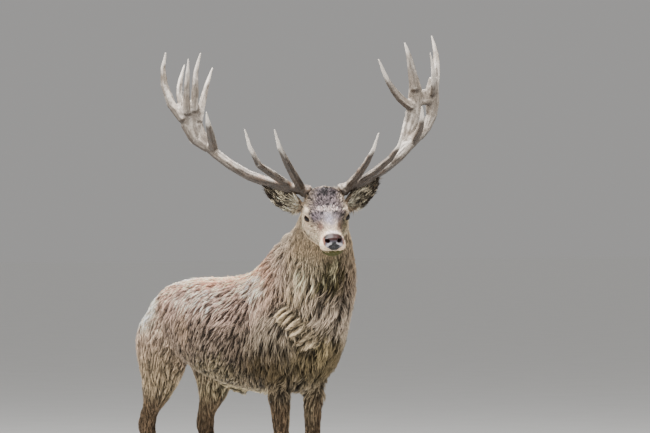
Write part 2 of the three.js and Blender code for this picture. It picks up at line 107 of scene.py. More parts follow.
# %% [markdown]
# ## Noise without a texture
# A coat is never one colour. A little value noise, worked out from hashed lattice points, gives
# smooth random patches for the vertices. It is the same on every run.


# %% Value noise and soft steps
def hashed(cells):
    cells = cells.astype(np.int64)
    mixed = cells[..., 0] * 73856093 ^ cells[..., 1] * 19349663 ^ cells[..., 2] * 83492791
    mixed = (mixed ^ (mixed >> 13)) * 1274126177
    return ((mixed ^ (mixed >> 16)) & 0xFFFF) / 0xFFFF


def noise(points, size, seed=0):
    """Smooth values from -1 to 1 that change over a length of about size."""
    at = np.asarray(points, float) / size + seed * 17.3
    cell = np.floor(at)
    part = at - cell
    part = part * part * (3 - 2 * part)
    total = np.zeros(len(at))
    for corner in np.ndindex(2, 2, 2):
        share = np.prod(np.where(corner, part, 1 - part), axis=1)
        total += share * hashed(cell + corner)
    return 2 * total - 1


def wandering(points, far, size, seeds):
    """Points moved a little by noise, so that an edge drawn from them is uneven."""
    return points + far * np.stack([noise(points, size, s) for s in seeds], axis=1)


def smoothstep(low, high, value):
    t = np.clip((value - low) / (high - low), 0, 1)
    return t * t * (3 - 2 * t)


def bump_at(points, centre, radii):
    """1 at a centre, falling smoothly to 0 over the radii."""
    return np.exp(-(((points - np.array(centre)) / np.array(radii)) ** 2).sum(axis=1))


def ridge(value, centre, width):
    """1 where a value is at its centre, falling to 0 over the width on both sides."""
    return np.exp(-(((value - centre) / width) ** 2))


def norm(arrows):
    return np.linalg.norm(arrows, axis=-1)


def unit(arrows):
    return arrows / np.maximum(norm(arrows), 1e-9)[..., None]


def from_line(points, start, end):
    """How far points are from a straight line between two places."""
    run = np.array(end) - np.array(start)
    share = np.clip(((points - start) @ run) / (run @ run), 0, 1)
    return norm(points - start - share[:, None] * run)


# %% [markdown]
# ## From plain solids to one body
# The solids are parted by hair-thin cuts. Copies of them are swelled by less than a millimetre
# so that the cuts close, and a voxel remesh turns them into one even skin. The head and ears
# need far smaller faces than the trunk, so they are remeshed apart and the two are bridged
# behind the ears, where the mane will lie.

# %% Remeshing copies of the solids
CLOSE_CUTS = 0.0004


def copy_of(nodes):
    """One mesh from copies of solids, each merged and swelled until their cuts close."""
    whole = bmesh.new()
    for name in nodes:
        whole.from_mesh(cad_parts[name].data)
    bmesh.ops.remove_doubles(whole, verts=whole.verts, dist=1e-5)
    bmesh.ops.recalc_face_normals(whole, faces=whole.faces)
    whole.normal_update()
    for vertex in whole.verts:
        vertex.co += vertex.normal * CLOSE_CUTS
    return whole


def add_object(name, shape):
    """A new object in the scene, from a bmesh or from a mesh, lamp or camera."""
    if isinstance(shape, bmesh.types.BMesh):
        mesh = bpy.data.meshes.new(name)
        shape.to_mesh(mesh)
        shape.free()
        shape = mesh
    piece = bpy.data.objects.new(name, shape)
    bpy.context.scene.collection.objects.link(piece)
    return piece


def remeshed(nodes, voxel):
    piece = add_object("raw", copy_of(nodes))
    remesh = piece.modifiers.new("Remesh", "REMESH")
    remesh.mode = "VOXEL"
    remesh.voxel_size = voxel
    graph = bpy.context.evaluated_depsgraph_get()
    mesh = bpy.data.meshes.new_from_object(piece.evaluated_get(graph))
    bpy.data.objects.remove(piece)
    return mesh


# %% Meshes as arrays
def read(items, word, width=3, kind=float):
    """One property of all vertices, edges, corners or faces, as rows."""
    values = np.empty(len(items) * width, kind)
    items.foreach_get(word, values)
    return values.reshape(-1, width)


def points_of(mesh):
    return read(mesh.vertices, "co")


def normals_of(mesh):
    return read(mesh.vertices, "normal")


def put_points(mesh, points):
    mesh.vertices.foreach_set("co", points.astype(np.float32).ravel())
    mesh.update()


def keep(mesh, name, values):
    """Keeps a number or a colour of every vertex, for the materials to read."""
    values = np.asarray(values, np.float32).reshape(len(mesh.vertices), -1)
    kind, word = "FLOAT", "value"
    if values.shape[1] == 3:
        kind, word = "FLOAT_COLOR", "color"
        values = np.insert(values, 3, 1, axis=1)
    mesh.attributes.new(name, kind, "POINT").data.foreach_set(word, values.ravel())


class Web:
    """The edges of a mesh, for averaging values over neighbours."""

    def __init__(self, mesh):
        self.a, self.b = read(mesh.edges, "vertices", 2, np.int64).T
        self.count = len(mesh.vertices)

    def mean(self, values):
        """For each vertex, the mean of its neighbours' values."""
        flat = values.reshape(self.count, -1)
        total = np.empty_like(flat)
        for k, column in enumerate(flat.T):
            total[:, k] = np.bincount(self.a, column[self.b], self.count)
            total[:, k] += np.bincount(self.b, column[self.a], self.count)
        around = np.bincount(self.a, minlength=self.count) + np.bincount(self.b, minlength=self.count)
        return (total / np.maximum(around, 1e-9)[:, None]).reshape(values.shape)

    def relax(self, values, rounds, share=0.5, back=0.0):
        """Averages values; back > 0 pushes back after each round, so that forms don't shrink."""
        share = np.asarray(share)
        if share.ndim:
            share = share[:, None]
        for _ in range(rounds):
            values = values + share * (self.mean(values) - values)
            if back:
                values = values - back * share * (self.mean(values) - values)
        return values


BODY_VOXEL, HEAD_VOXEL = 0.0092, 0.0035
EARS, EYES = ["ear_left", "ear_right"], ["eye_left", "eye_right"]
HORNY = ("antler_", "hoof", "eye_")
flesh = sorted(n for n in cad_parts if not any(word in n for word in HORNY))

body_mesh = remeshed([n for n in flesh if n not in EARS] + EYES, BODY_VOXEL)
face_mesh = remeshed(["head", "lower_jaw", "nose_pad", "neck", *EARS, *EYES], HEAD_VOXEL)
print("body", len(body_mesh.polygons), "faces; head and neck", len(face_mesh.polygons), "faces")

# %% [markdown]
# The solids are faceted. A few dozen rounds of averaging round them off, and a push back after
# each round keeps them from shrinking. Thin ears get fewer rounds than the skull.

# %% Rounding off the facets
put_points(body_mesh, Web(body_mesh).relax(points_of(body_mesh), 26, 0.6, back=1.04))

points = points_of(face_mesh)
local = to_head(points)
ear_part = smoothstep(0.098, 0.125, np.abs(local[:, 0])) * smoothstep(0.02, 0.06, local[:, 2])
by_nose = smoothstep(-0.2, -0.235, local[:, 1])
rounding = 0.6 * (1 - 0.8 * ear_part) * (1 - 0.55 * by_nose)
put_points(face_mesh, Web(face_mesh).relax(points, 44, rounding, back=1.03))

# %% Joining head and body behind the ears
CUT_AT, CUT_ALONG = Vector((0, 0.190, 0.030)), Vector((0, 0.80, -0.60))

skin_shape = bmesh.new()
for mesh, beyond in ((body_mesh, False), (face_mesh, True)):
    half = bmesh.new()
    half.from_mesh(mesh)
    bmesh.ops.bisect_plane(
        half,
        geom=[*half.verts, *half.edges, *half.faces],
        plane_co=head_turn @ CUT_AT + head_at,
        plane_no=head_turn @ CUT_ALONG,
        clear_outer=beyond,
        clear_inner=not beyond,
    )
    half.to_mesh(mesh)
    half.free()
    skin_shape.from_mesh(mesh)
rims = [edge for edge in skin_shape.edges if edge.is_boundary]
joint = bmesh.ops.bridge_loops(skin_shape, edges=rims)
bmesh.ops.triangulate(skin_shape, faces=joint["faces"])
bmesh.ops.recalc_face_normals(skin_shape, faces=skin_shape.faces)
open_edges = sum(edge.is_boundary for edge in skin_shape.edges)
print("rim edges bridged:", len(rims), "- still open:", open_edges)

# %% [markdown]
# ## Fine faces where the face needs them
# Lids, nostrils and lips are only a few millimetres thick. The faces round the eyes, the nose
# and the mouth are divided again, once or twice, before anything is shaped there.


# %% Dividing the faces round eyes, nose and mouth
def divide_near(shape, centre, radius):
    """Divides the edges whose ends both lie within a radius of a point of the head's frame."""
    at = Vector(from_head([centre])[0])
    near = [v for v in shape.verts if (v.co - at).length < radius]
    chosen = set(near)
    edges = {e for v in near for e in v.link_edges if e.other_vert(v) in chosen}
    bmesh.ops.subdivide_edges(shape, edges=list(edges), cuts=1, use_grid_fill=True)


for side in (1, -1):
    for radius in (0.033, 0.026):
        divide_near(skin_shape, (side * (EYE_OUT + 0.012), EYE_BACK - 0.004, EYE_UP), radius)
for radius in (0.050, 0.034):
    divide_near(skin_shape, (0, -0.236, 0.0), radius)
bmesh.ops.triangulate(skin_shape, faces=[f for f in skin_shape.faces if len(f.verts) > 4])
skin_mesh = bpy.data.meshes.new("skin")
skin_shape.to_mesh(skin_mesh)
skin_shape.free()
print("the skin has", sum(len(p.vertices) - 2 for p in skin_mesh.polygons), "triangles")

# %% [markdown]
# ## The bones and muscles of the head
# Soft bumps and hollows, each with a centre, three radii and a height in the head's frame, push
# the skin out or in along its normals. They are mirrored, so each is named once for its right
# and left. This is the way a sculptor adds pellets of clay to an even block.

# %% Shaping the head
FORMS = {
    "brow over the eye": ((0.076, -0.006, 0.036), (0.018, 0.028, 0.011), 0.0060),
    "cheekbone": ((0.080, -0.034, -0.026), (0.018, 0.034, 0.010), 0.0050),
    "hollow under the cheekbone": ((0.064, -0.090, -0.036), (0.026, 0.044, 0.018), -0.0075),
    "hollow beside the nose": ((0.052, -0.095, 0.006), (0.014, 0.040, 0.010), -0.0050),
    "jaw muscle": ((0.088, 0.035, -0.066), (0.030, 0.040, 0.034), 0.0050),
    "tear pit": ((0.070, -0.056, -0.010), (0.010, 0.017, 0.0048), -0.0060),
    "edge of the nasal bone": ((0.034, -0.110, 0.036), (0.009, 0.070, 0.012), 0.0034),
    "temple": ((0.090, 0.045, 0.040), (0.018, 0.022, 0.022), -0.0050),
    "upper lip": ((0.044, -0.218, -0.026), (0.016, 0.022, 0.016), 0.0066),
    "foot of the antler": ((0.050, 0.086, 0.078), (0.024, 0.024, 0.030), 0.0040),
    "hollow of the forehead": ((0.000, -0.025, 0.070), (0.020, 0.034, 0.030), -0.0034),
    "chin": ((0.000, -0.212, -0.074), (0.026, 0.024, 0.016), 0.0030),
}
MOUTH_CORNER = -0.118  # how far back the lips part, in the head's frame

points, normals = points_of(skin_mesh), normals_of(skin_mesh)
local = mirrored(to_head(points))
push = np.zeros(len(points))
for centre, radii, height in FORMS.values():
    push += height * bump_at(local, centre, radii)

# The line between the lips starts under the nose and climbs to the corner of the mouth.
over_lips = local[:, 2] + 0.047 + 0.010 * smoothstep(-0.235, -0.165, local[:, 1])
beside_mouth = smoothstep(MOUTH_CORNER, MOUTH_CORNER - 0.016, local[:, 1])
push += beside_mouth * (0.0020 * ridge(over_lips, 0.008, 0.005) - 0.0055 * ridge(over_lips, 0, 0.0026))
points += normals * push[:, None]
put_points(skin_mesh, points)

# %% [markdown]
# ## Lids round the eyes
# Round each eye the skin is drawn to the ball: it slips inside the ball in the opening between
# the lids, makes a rolled edge just outside it, and then goes back to the skull. The opening is
# an almond, measured by angles seen from the eye's centre.

# %% Lids
LID_LONG, LID_HIGH, LID_LIFT = 0.90, 0.42, 0.02  # the almond's half sizes, and its middle
LID_EDGE, LID_INSIDE, LID_COVER = 0.0028, -0.0035, 0.0014  # beyond the ball
EYE_LOOKS = Vector((0.77, -0.62, 0.13)).normalized()
eye_fore = Vector((0.15, -1, -0.22))
eye_fore = (eye_fore - eye_fore.dot(EYE_LOOKS) * EYE_LOOKS).normalized()
eye_over = EYE_LOOKS.cross(eye_fore)
if eye_over.z < 0:
    eye_over.negate()


def seen_from_eye(local):
    """The lids' almond, 1 at its edge, then how far over and outward, and the distance."""
    arms = mirrored(local) - EYE_MIDDLE
    away = norm(arms)
    ways = arms / np.maximum(away, 1e-6)[:, None]
    fore, over, outward = (ways @ np.array(axis) for axis in (eye_fore, eye_over, EYE_LOOKS))
    return (fore / LID_LONG) ** 2 + np.abs(over - LID_LIFT) / LID_HIGH, over, outward, away


points = points_of(skin_mesh)
local = to_head(points)
almond, over, outward, away = seen_from_eye(local)
near_eye = (away < 0.036) & (outward > 0.1)
ball, rim = EYE_RADIUS + LID_INSIDE, EYE_RADIUS + LID_EDGE
target = ball + (rim - ball) * smoothstep(0.84, 1.02, almond)
natural = smoothstep(1.35, 2.30, almond)
target = target * (1 - natural) + away * natural - 0.0022 * ridge(almond, 1.62, 0.14) * (over > 0)
# Outside the opening the ball never shows through the skin.
target = np.where(almond > 1.0, np.maximum(target, EYE_RADIUS + LID_COVER), target)
new_away = away + (target - away) * smoothstep(0.036, 0.029, away) * near_eye
arms = mirrored(local) - EYE_MIDDLE
shaped = arms * (new_away / np.maximum(away, 1e-6))[:, None] + EYE_MIDDLE
points[near_eye] = from_head((shaped * sides(local))[near_eye])
print("vertices in the lids:", int(near_eye.sum()))

# %% [markdown]
# ## Nostrils
# A nostril is a comma: round in front and drawn out towards the side. The skin inside the comma
# goes back into the head, and its rim is rolled outwards a little.

# %% Nostrils
NOSTRIL_AT, NOSTRIL_DEEP = (0.0270, -0.246, -0.001), 0.017
NOSTRIL_LONG, NOSTRIL_SHORT, NOSTRIL_SLANT = 0.0112, 0.0078, math.radians(24)

local = to_head(points)
mirror = mirrored(local)
gap = mirror - NOSTRIL_AT
along = gap[:, 0] * math.cos(NOSTRIL_SLANT) + gap[:, 2] * math.sin(NOSTRIL_SLANT)
across = gap[:, 2] * math.cos(NOSTRIL_SLANT) - gap[:, 0] * math.sin(NOSTRIL_SLANT)
across = across + 9.0 * along * np.abs(along)  # the comma's bend
comma = np.sqrt((along / NOSTRIL_LONG) ** 2 + (across / NOSTRIL_SHORT) ** 2)
in_front = smoothstep(-0.215, -0.230, mirror[:, 1])
sink = NOSTRIL_DEEP * smoothstep(1.05, 0.45, comma) * in_front
mirror[:, 1] += sink - 0.0022 * ridge(comma, 1.25, 0.22) * in_front
mirror[:, 0] -= 0.35 * sink
put_points(skin_mesh, from_head(mirror * sides(local)))
nostril_depth = smoothstep(0.25, 0.75, sink / NOSTRIL_DEEP)
print("deepest point of a nostril:", round(float(sink.max()), 4))

# %% [markdown]
# ## How deep the coat is
# The solids reach to the tips of the hair, so the skin lies inside them by the depth of the
# coat: two centimetres in the mane, one on the flank, next to nothing on the face and feet.

# %% Regions of the body
EAR_MIDDLE = np.array((0.164, 0.141, 0.055))  # the left ear, in the head's frame
EAR_ALONG, EAR_UP, EAR_LOOKS = np.array(
    ((0.785, 0.472, 0.402), (-0.444, -0.023, 0.895), (0.432, -0.881, 0.192))
)


def in_ear(local):
    """Places measured in the ear: towards its tip, towards its upper edge, out of its cup."""
    arm = mirrored(local) - EAR_MIDDLE
    return arm @ EAR_ALONG, arm @ EAR_UP, arm @ EAR_LOOKS


def parts_of_body(points):
    """Soft masks for the regions of the body, each from 0 to 1."""
    local = to_head(points)
    x, y, z = mirrored(to_stag(points)).T
    back, up = local[:, 1], local[:, 2]
    jaw = np.interp(back, (-0.14, -0.08, 0.00, 0.06, 0.11), (-0.135, -0.090, -0.058, -0.025, 0.030))
    head = smoothstep(-0.030, 0.022, up - jaw) * smoothstep(0.150, 0.095, back) * (y < -0.40)
    along, over, out = in_ear(local)
    ear = smoothstep(-0.086, -0.070, along) * smoothstep(0.085, 0.072, np.abs(over))
    ear *= smoothstep(0.065, 0.052, np.abs(out))
    head = np.maximum(head, ear)
    belly = smoothstep(0.70, 0.63, z) * smoothstep(0.16, 0.10, x) * (y > -0.24) * (y < 0.36)
    legs = smoothstep(0.66, 0.56, z) * (1 - belly)
    mane = smoothstep(-0.20, -0.34, y + 0.25 * (z - 1.15)) * (1 - head) * (1 - legs)
    return {"head": head, "ear": ear, "legs": legs, "mane": mane}


def from_eye(points):
    """How far points are from the nearer eye's front."""
    return norm(mirrored(to_head(points)) - (EYE_OUT + 0.01, EYE_BACK, EYE_UP))


def near_head(points):
    """1 close to the head, where the neck's hair is short and fine, and 0 down the neck."""
    return smoothstep(0.30, 0.14, norm(to_head(points) - (0, 0.02, -0.02)))


# %% Depth of the coat
def coat_depth(points):
    part = parts_of_body(points)
    low = smoothstep(0.60, 0.30, to_stag(points)[:, 2])
    depth = (0.012 + 0.011 * part["mane"]) * (1 - 0.85 * near_head(points))
    for region, own in (("legs", 0.007 - 0.0045 * low), ("head", 0.0022), ("ear", 0.0008)):
        depth = depth * (1 - part[region]) + own * part[region]
    return depth * smoothstep(0.026, 0.040, from_eye(points))


points, web = points_of(skin_mesh), Web(skin_mesh)
depth = web.relax(coat_depth(points), 12)
put_points(skin_mesh, points - unit(web.relax(normals_of(skin_mesh), 6)) * depth[:, None])
skin_mesh.shade_smooth()
skin = add_object("skin", skin_mesh)
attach(skin, "root")
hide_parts(*flesh)
print("depth of the coat, least and most:", depth.min().round(4), depth.max().round(4))

# %% [markdown]
# ## Writing materials as expressions
# A material is a sum of small ideas: a colour here, a darker one in the hollows. Shader nodes
# can be written as Python sums when a small class wraps each socket. Numbers use Math nodes,
# while colours and vectors go through Mix and Vector Math.


# %% A small language for shader nodes
class Value:
    """A number that changes over a surface: an output socket with arithmetic."""

    def __init__(self, shader, socket):
        self.shader, self.socket = shader, socket

    def math(self, operation, a, b):
        return self.shader.node("ShaderNodeMath", {"operation": operation}, {0: a, 1: b})

    def __add__(self, other):
        return self.math("ADD", self, other)

    def __rsub__(self, other):
        return self.math("SUBTRACT", other, self)

    def __mul__(self, other):
        return self.math("MULTIPLY", self, other)

    def __pow__(self, other):
        return self.math("POWER", self, other)

    __radd__, __rmul__ = __add__, __mul__

    def between(self, low, high):
        """0 below low, 1 above high, and smooth from one to the other."""
        settings = {"interpolation_type": "SMOOTHSTEP"}
        return self.shader.node("ShaderNodeMapRange", settings, {0: self, 1: low, 2: high})


class Shader:
    """The nodes of one material, ending in one Principled surface."""

    def __init__(self, name):
        self.material = bpy.data.materials.new(name)
        self.material.use_nodes = True
        self.tree = self.material.node_tree
        self.tree.nodes.clear()

    def node(self, kind, settings=None, inputs=None, output=0):
        """Any node: its type, its settings, and the values or links of its sockets."""
        made = self.tree.nodes.new(kind)
        for key, setting in (settings or {}).items():
            setattr(made, key, setting)
        for key, given in (inputs or {}).items():
            if isinstance(given, Value):
                self.tree.links.new(given.socket, made.inputs[key])
            elif isinstance(given, tuple) and made.inputs[key].type == "RGBA":
                made.inputs[key].default_value = (*given, 1)
            else:
                made.inputs[key].default_value = given
        return Value(self, made.outputs[output])

    def place(self, size=(1, 1, 1), uv=None):
        """Object coordinates, or a UV map's, multiplied by size."""
        if uv:
            at = self.node("ShaderNodeUVMap", {"uv_map": uv})
        else:
            at = self.node("ShaderNodeTexCoord", output="Object")
        return self.node("ShaderNodeMapping", None, {"Vector": at, "Scale": size})

    def noise(self, place, scale=1.0, detail=3.0, roughness=0.55):
        inputs = {"Vector": place, "Scale": scale, "Detail": detail, "Roughness": roughness}
        return self.node("ShaderNodeTexNoise", None, inputs)

    def attribute(self, name, output="Fac"):
        return self.node("ShaderNodeAttribute", {"attribute_name": name}, None, output)

    def mix(self, factor, a, b, way="MIX"):
        settings = {"data_type": "RGBA", "blend_type": way}
        return self.node("ShaderNodeMix", settings, {0: factor, 6: a, 7: b}, 2)

    def layers(self, colour, *over):
        """A colour with others over it: each a factor and its paint, 0 to 255."""
        for factor, shade in over:
            colour = self.mix(factor, colour, paint(*shade))
        return colour

    def shaded(self, colour, value):
        """A colour made darker or lighter by a number."""
        grey = self.node("ShaderNodeCombineColor", None, {0: value, 1: value, 2: value})
        return self.mix(1.0, colour, grey, "MULTIPLY")

    def bump(self, height, distance, strength, **over):
        inputs = {"Height": height, "Distance": distance, "Strength": strength, **over}
        return self.node("ShaderNodeBump", None, inputs)

    def surface(self, **inputs):
        inputs = {word.replace("_", " "): given for word, given in inputs.items()}
        made = self.node("ShaderNodeBsdfPrincipled", None, inputs)
        end = self.tree.nodes.new("ShaderNodeOutputMaterial")
        self.tree.links.new(made.socket, end.inputs["Surface"])
        return self.material


PAINT_POWER, PAINT_STRENGTH = 2.7, 0.85


def paint(red, green, blue):
    """A colour as it should look when rendered, 0 to 255, as light for a shader. Renders are
    developed softly, so the paint goes in a little deeper than it should look."""
    light = np.array([(c / 255) ** PAINT_POWER for c in (red, green, blue)])
    grey = light @ (0.21, 0.72, 0.07)
    strong = grey + (light - grey) * PAINT_STRENGTH
    return tuple(float(v) for v in strong.clip(0.001, 0.95).round(4))


# %% [markdown]
# ## Antlers
# An antler is dead bone: ribbed with long grooves where the blood vessels of the velvet ran,
# pearled near its foot, and rubbed pale and smooth at the points. The solids of one side are
# joined by a remesh. The grooves could be a texture, but real hollows catch the light, so
# random heights are drawn out along the run of the bone and pressed into the mesh.

# %% Antler shapes
ANTLER_VOXEL = 0.0028
PARTS_OF_ANTLER = ("beam", "crown", "brow_tine", "bez_tine", "trez_tine")
ANTLER_FOOT = (0.062, 0.09, 0.09)  # in the head's frame
GROOVE_DEEP, PEARL_HIGH, BURR_HIGH = 0.00062, 0.00050, 0.0022


def run_of_bone(normals, web):
    """The direction in which the surface keeps its slope: along the beam or the tine."""
    spread = web.relax((normals[:, :, None] * normals[:, None, :]).reshape(-1, 9), 24)
    return np.linalg.eigh(spread.reshape(-1, 3, 3))[1][:, :, 0]


def streaked(points, run, size, reach, seed):
    """Noise drawn out along the run of the bone, which leaves long streaks."""
    steps = np.linspace(-reach, reach, 13)
    values = sum(noise(points + run * step, size, seed) for step in steps)
    return values / values.std()


antlers = []
for side, x_way in (("left", 1), ("right", -1)):
    mesh = remeshed([f"antler_{side}_{part}" for part in PARTS_OF_ANTLER], ANTLER_VOXEL)
    web = Web(mesh)
    put_points(mesh, web.relax(points_of(mesh), 30, 0.6, back=1.03))
    points, normals = points_of(mesh), normals_of(mesh)
    hollowed = ((web.relax(points, 6) - points) * normals).sum(axis=1)
    forks = np.clip(web.relax(smoothstep(0.0001, 0.0006, hollowed), 30) * 6, 0, 1)
    put_points(mesh, web.relax(web.relax(points, 160, 0.6 * forks, back=1.02), 36, 0.6 * forks))
    points, normals = points_of(mesh), normals_of(mesh)
    run = run_of_bone(normals, web)
    pearls = noise(points, 0.0075, 3) + 0.5 * noise(points, 0.0045, 5)
    from_foot = norm(points - from_head([np.array(ANTLER_FOOT) * (x_way, 1, 1)])[0])
    width = web.relax(norm(web.mean(points) - points), 30)
    fine = smoothstep(0.0, 1.0, (width - width.min()) / (np.percentile(width, 97) - width.min()))
    fine *= 1 - np.clip(web.relax(forks, 40) * 3, 0, 1)
    # Painted shade: the undersides, which face away from the light above, are marked for dark paint;
    # further from the foot only those that face more steeply down are.
    high = 0.35 * smoothstep(0.20, 0.50, from_foot)
    under = smoothstep(0.62 - high, -0.28 - high, web.relax(normals[:, 2], 6))
    rough = smoothstep(0.72, 0.10, from_foot) * 0.8 + 0.2
    groove = np.clip(streaked(points, run, 0.0042, 0.020, 15), -2.2, 0.7)
    broad = streaked(points, run, 0.0085, 0.045, 16)
    height = rough * (GROOVE_DEEP * groove + PEARL_HIGH * np.clip(pearls, -0.4, 1))
    burr = np.clip(noise(points, 0.010, 8), -0.3, 1) * ridge(from_foot, 0.016, 0.018)
    height += BURR_HIGH * burr
    put_points(mesh, points + normals * height[:, None])
    mesh.shade_smooth()
    marks = {"groove": groove, "streak": broad, "from_foot": from_foot, "fine": fine}
    for name, values in (marks | {"under": under, "pearls": pearls}).items():
        keep(mesh, name, values)
    antler = add_object(f"antler_{side}", mesh)
    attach(antler, "root")
    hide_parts(*[f"antler_{side}_{part}" for part in PARTS_OF_ANTLER])
    antlers.append(antler)
    print(f"{side} antler: {len(mesh.polygons)} faces")

# %% [markdown]
# The bone is cream-grey where it was rubbed and brown where sap and earth stayed in the hollows.
# It is darkest near the foot, stained orange in places, and ivory at the tips of the tines. Its
# undersides are painted dark brown as shade, over more of the bone near the foot.

# %% Antler bone
bone = Shader("antler_bone")
place = bone.place()
specks = bone.noise(place, 150, 3, 0.7)
near_foot = 1 - bone.attribute("from_foot").between(0.10, 0.55)
tip = bone.attribute("fine").between(0.60, 0.95)
stain = bone.noise(place, 18, 4).between(0.50, 0.66) * near_foot
streak = bone.attribute("streak").between(0.8, -0.9)
hollow = bone.attribute("groove").between(0.0, -1.2)
dirt = bone.attribute("pearls").between(0.1, -0.7)
colour = bone.layers(
    paint(226, 216, 204),
    (bone.noise(place, 9, 3).between(0.35, 0.65), (196, 182, 166)),
    (near_foot * 0.30, (132, 110, 88)),
    (stain * 0.6, (168, 112, 70)),
    (streak * (near_foot * 0.25 + 0.58), (108, 94, 80)),
    # painted shade on the undersides
    (bone.attribute("under") * 0.95, (72, 58, 44)),
    (hollow * (near_foot * 0.45 + 0.40), (54, 44, 34)),
    (dirt * 0.25 * (1 - tip), (96, 78, 60)),
    (specks.between(0.58, 0.72) * 0.5 * (1 - tip), (60, 48, 38)),
    (tip * 0.75, (242, 232, 220)),
)
relief = bone.bump(bone.noise(place, 420, 2) * 0.4 + specks, 0.0007, 0.6)
antler_bone = bone.surface(Base_Color=colour, Roughness=0.58 - tip * 0.2, Normal=relief)
for antler in antlers:
    antler.data.materials.append(antler_bone)

# %% [markdown]
# ## Eyes
# A deer's eye is a large dark ball. Its pupil is a level slot, a little blacker than the brown
# round it, behind a clear wet front that bulges. The ball is spun about its own axis, so that
# the front can swell, and the pattern on it is measured from that axis.

# %% Eyes
IRIS, FRONT_SWELL = 0.0145, 0.0016
wet = Shader("eye")
at = wet.attribute("in_eye", "Vector")
long, high = (wet.node("ShaderNodeSeparateXYZ", None, {0: at}, axis) for axis in "XY")
pupil = ((long * 120) ** 2.0 + (high * 250) ** 2.0).between(1.1, 0.8)
white = ((long**2.0 + high**2.0) ** 0.5).between(0.0135, 0.0155)
colour = wet.mix(wet.noise(at, 900, 2), paint(34, 20, 12), paint(56, 34, 20))
colour = wet.layers(colour, (pupil, (8, 7, 9)), (white, (38, 26, 20)))
eye_gloss = wet.surface(Base_Color=colour, Roughness=0.14, Specular_IOR_Level=0.2)

for name, side in (("left", 1), ("right", -1)):
    ball = bmesh.new()
    bmesh.ops.create_uvsphere(ball, u_segments=40, v_segments=28, radius=EYE_RADIUS)
    looks = Vector((side * EYE_LOOKS.x, EYE_LOOKS.y, EYE_LOOKS.z))
    ahead = Vector((side * eye_fore.x, eye_fore.y, eye_fore.z))
    basis = Matrix((ahead, looks.cross(ahead), looks)).transposed()
    level = ball.verts.layers.float_vector.new("in_eye")
    for vertex in ball.verts:
        off_axis = math.hypot(vertex.co.x, vertex.co.y)
        if vertex.co.z > 0:
            vertex.co.z += FRONT_SWELL * max(0, 1 - (off_axis / IRIS) ** 2)
        vertex[level] = vertex.co
        seat = basis @ vertex.co + Vector((side * EYE_OUT, EYE_BACK, EYE_UP))
        vertex.co = head_turn @ seat + head_at
    eye = add_object(f"eyeball_{name}", ball)
    eye.data.shade_smooth()
    eye.data.materials.append(eye_gloss)
    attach(eye, "root")
    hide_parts(f"eye_{name}")
print("eyes set at", [round(v, 3) for v in eyes_between])

# %% [markdown]
# ## Hooves
# Each foot stands on two claws of black horn with growth rings that run round them. Copies of
# the solids are remeshed fine and rounded, and their soles are set flat on the floor again.

# %% Hooves
HOOF_VOXEL, RING_HIGH, SOLE = 0.0026, 0.00018, 0.008
hoof_nodes = sorted(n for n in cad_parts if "hoof" in n)
hoof_mesh = remeshed(hoof_nodes, HOOF_VOXEL)
points = Web(hoof_mesh).relax(points_of(hoof_mesh), 16, 0.6, back=1.03)
rings = RING_HIGH * np.sin(points[:, 2] / 0.0021) * smoothstep(0.004, 0.012, points[:, 2])
points += normals_of(hoof_mesh) * rings[:, None]
points[:, 2] *= smoothstep(0.0, SOLE, points[:, 2])
put_points(hoof_mesh, points)
hoof_mesh.shade_smooth()
hooves = add_object("hooves", hoof_mesh)
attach(hooves, "root")
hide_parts(*hoof_nodes)

horn = Shader("hoof_horn")
rings = horn.noise(horn.place((30, 30, 420)), 1, 3)
scuffs = horn.noise(horn.place(), 55, 4)
colour = horn.mix(rings, paint(44, 38, 34), paint(78, 69, 60))
colour = horn.layers(colour, (scuffs.between(0.55, 0.75) * 0.5, (112, 98, 80)))
relief = horn.bump(rings, 0.0008, 0.6)
horn_finish = horn.surface(Base_Color=colour, Roughness=0.35 + scuffs * 0.3, Normal=relief)
hooves.data.materials.append(horn_finish)
print("hooves:", len(hoof_mesh.polygons), "faces")

# %% [markdown]
# ## Markings
# Colour is painted over the whole animal by place: reddish along the back, grey-brown flanks,
# a pale patch at the rump, a grey mask down the face, and a cream muzzle. Some patches are
# painted light and shade: the back and upper flanks are made paler as light from above, a
# painted sheen of wet hair lies on top of the shoulder, and painted shade darkens the left cheek
# and the coat under the shoulder. Each patch is a centre, three radii and a colour; later ones
# cover earlier ones. Skin and tufts both ask this one function, so they always agree.

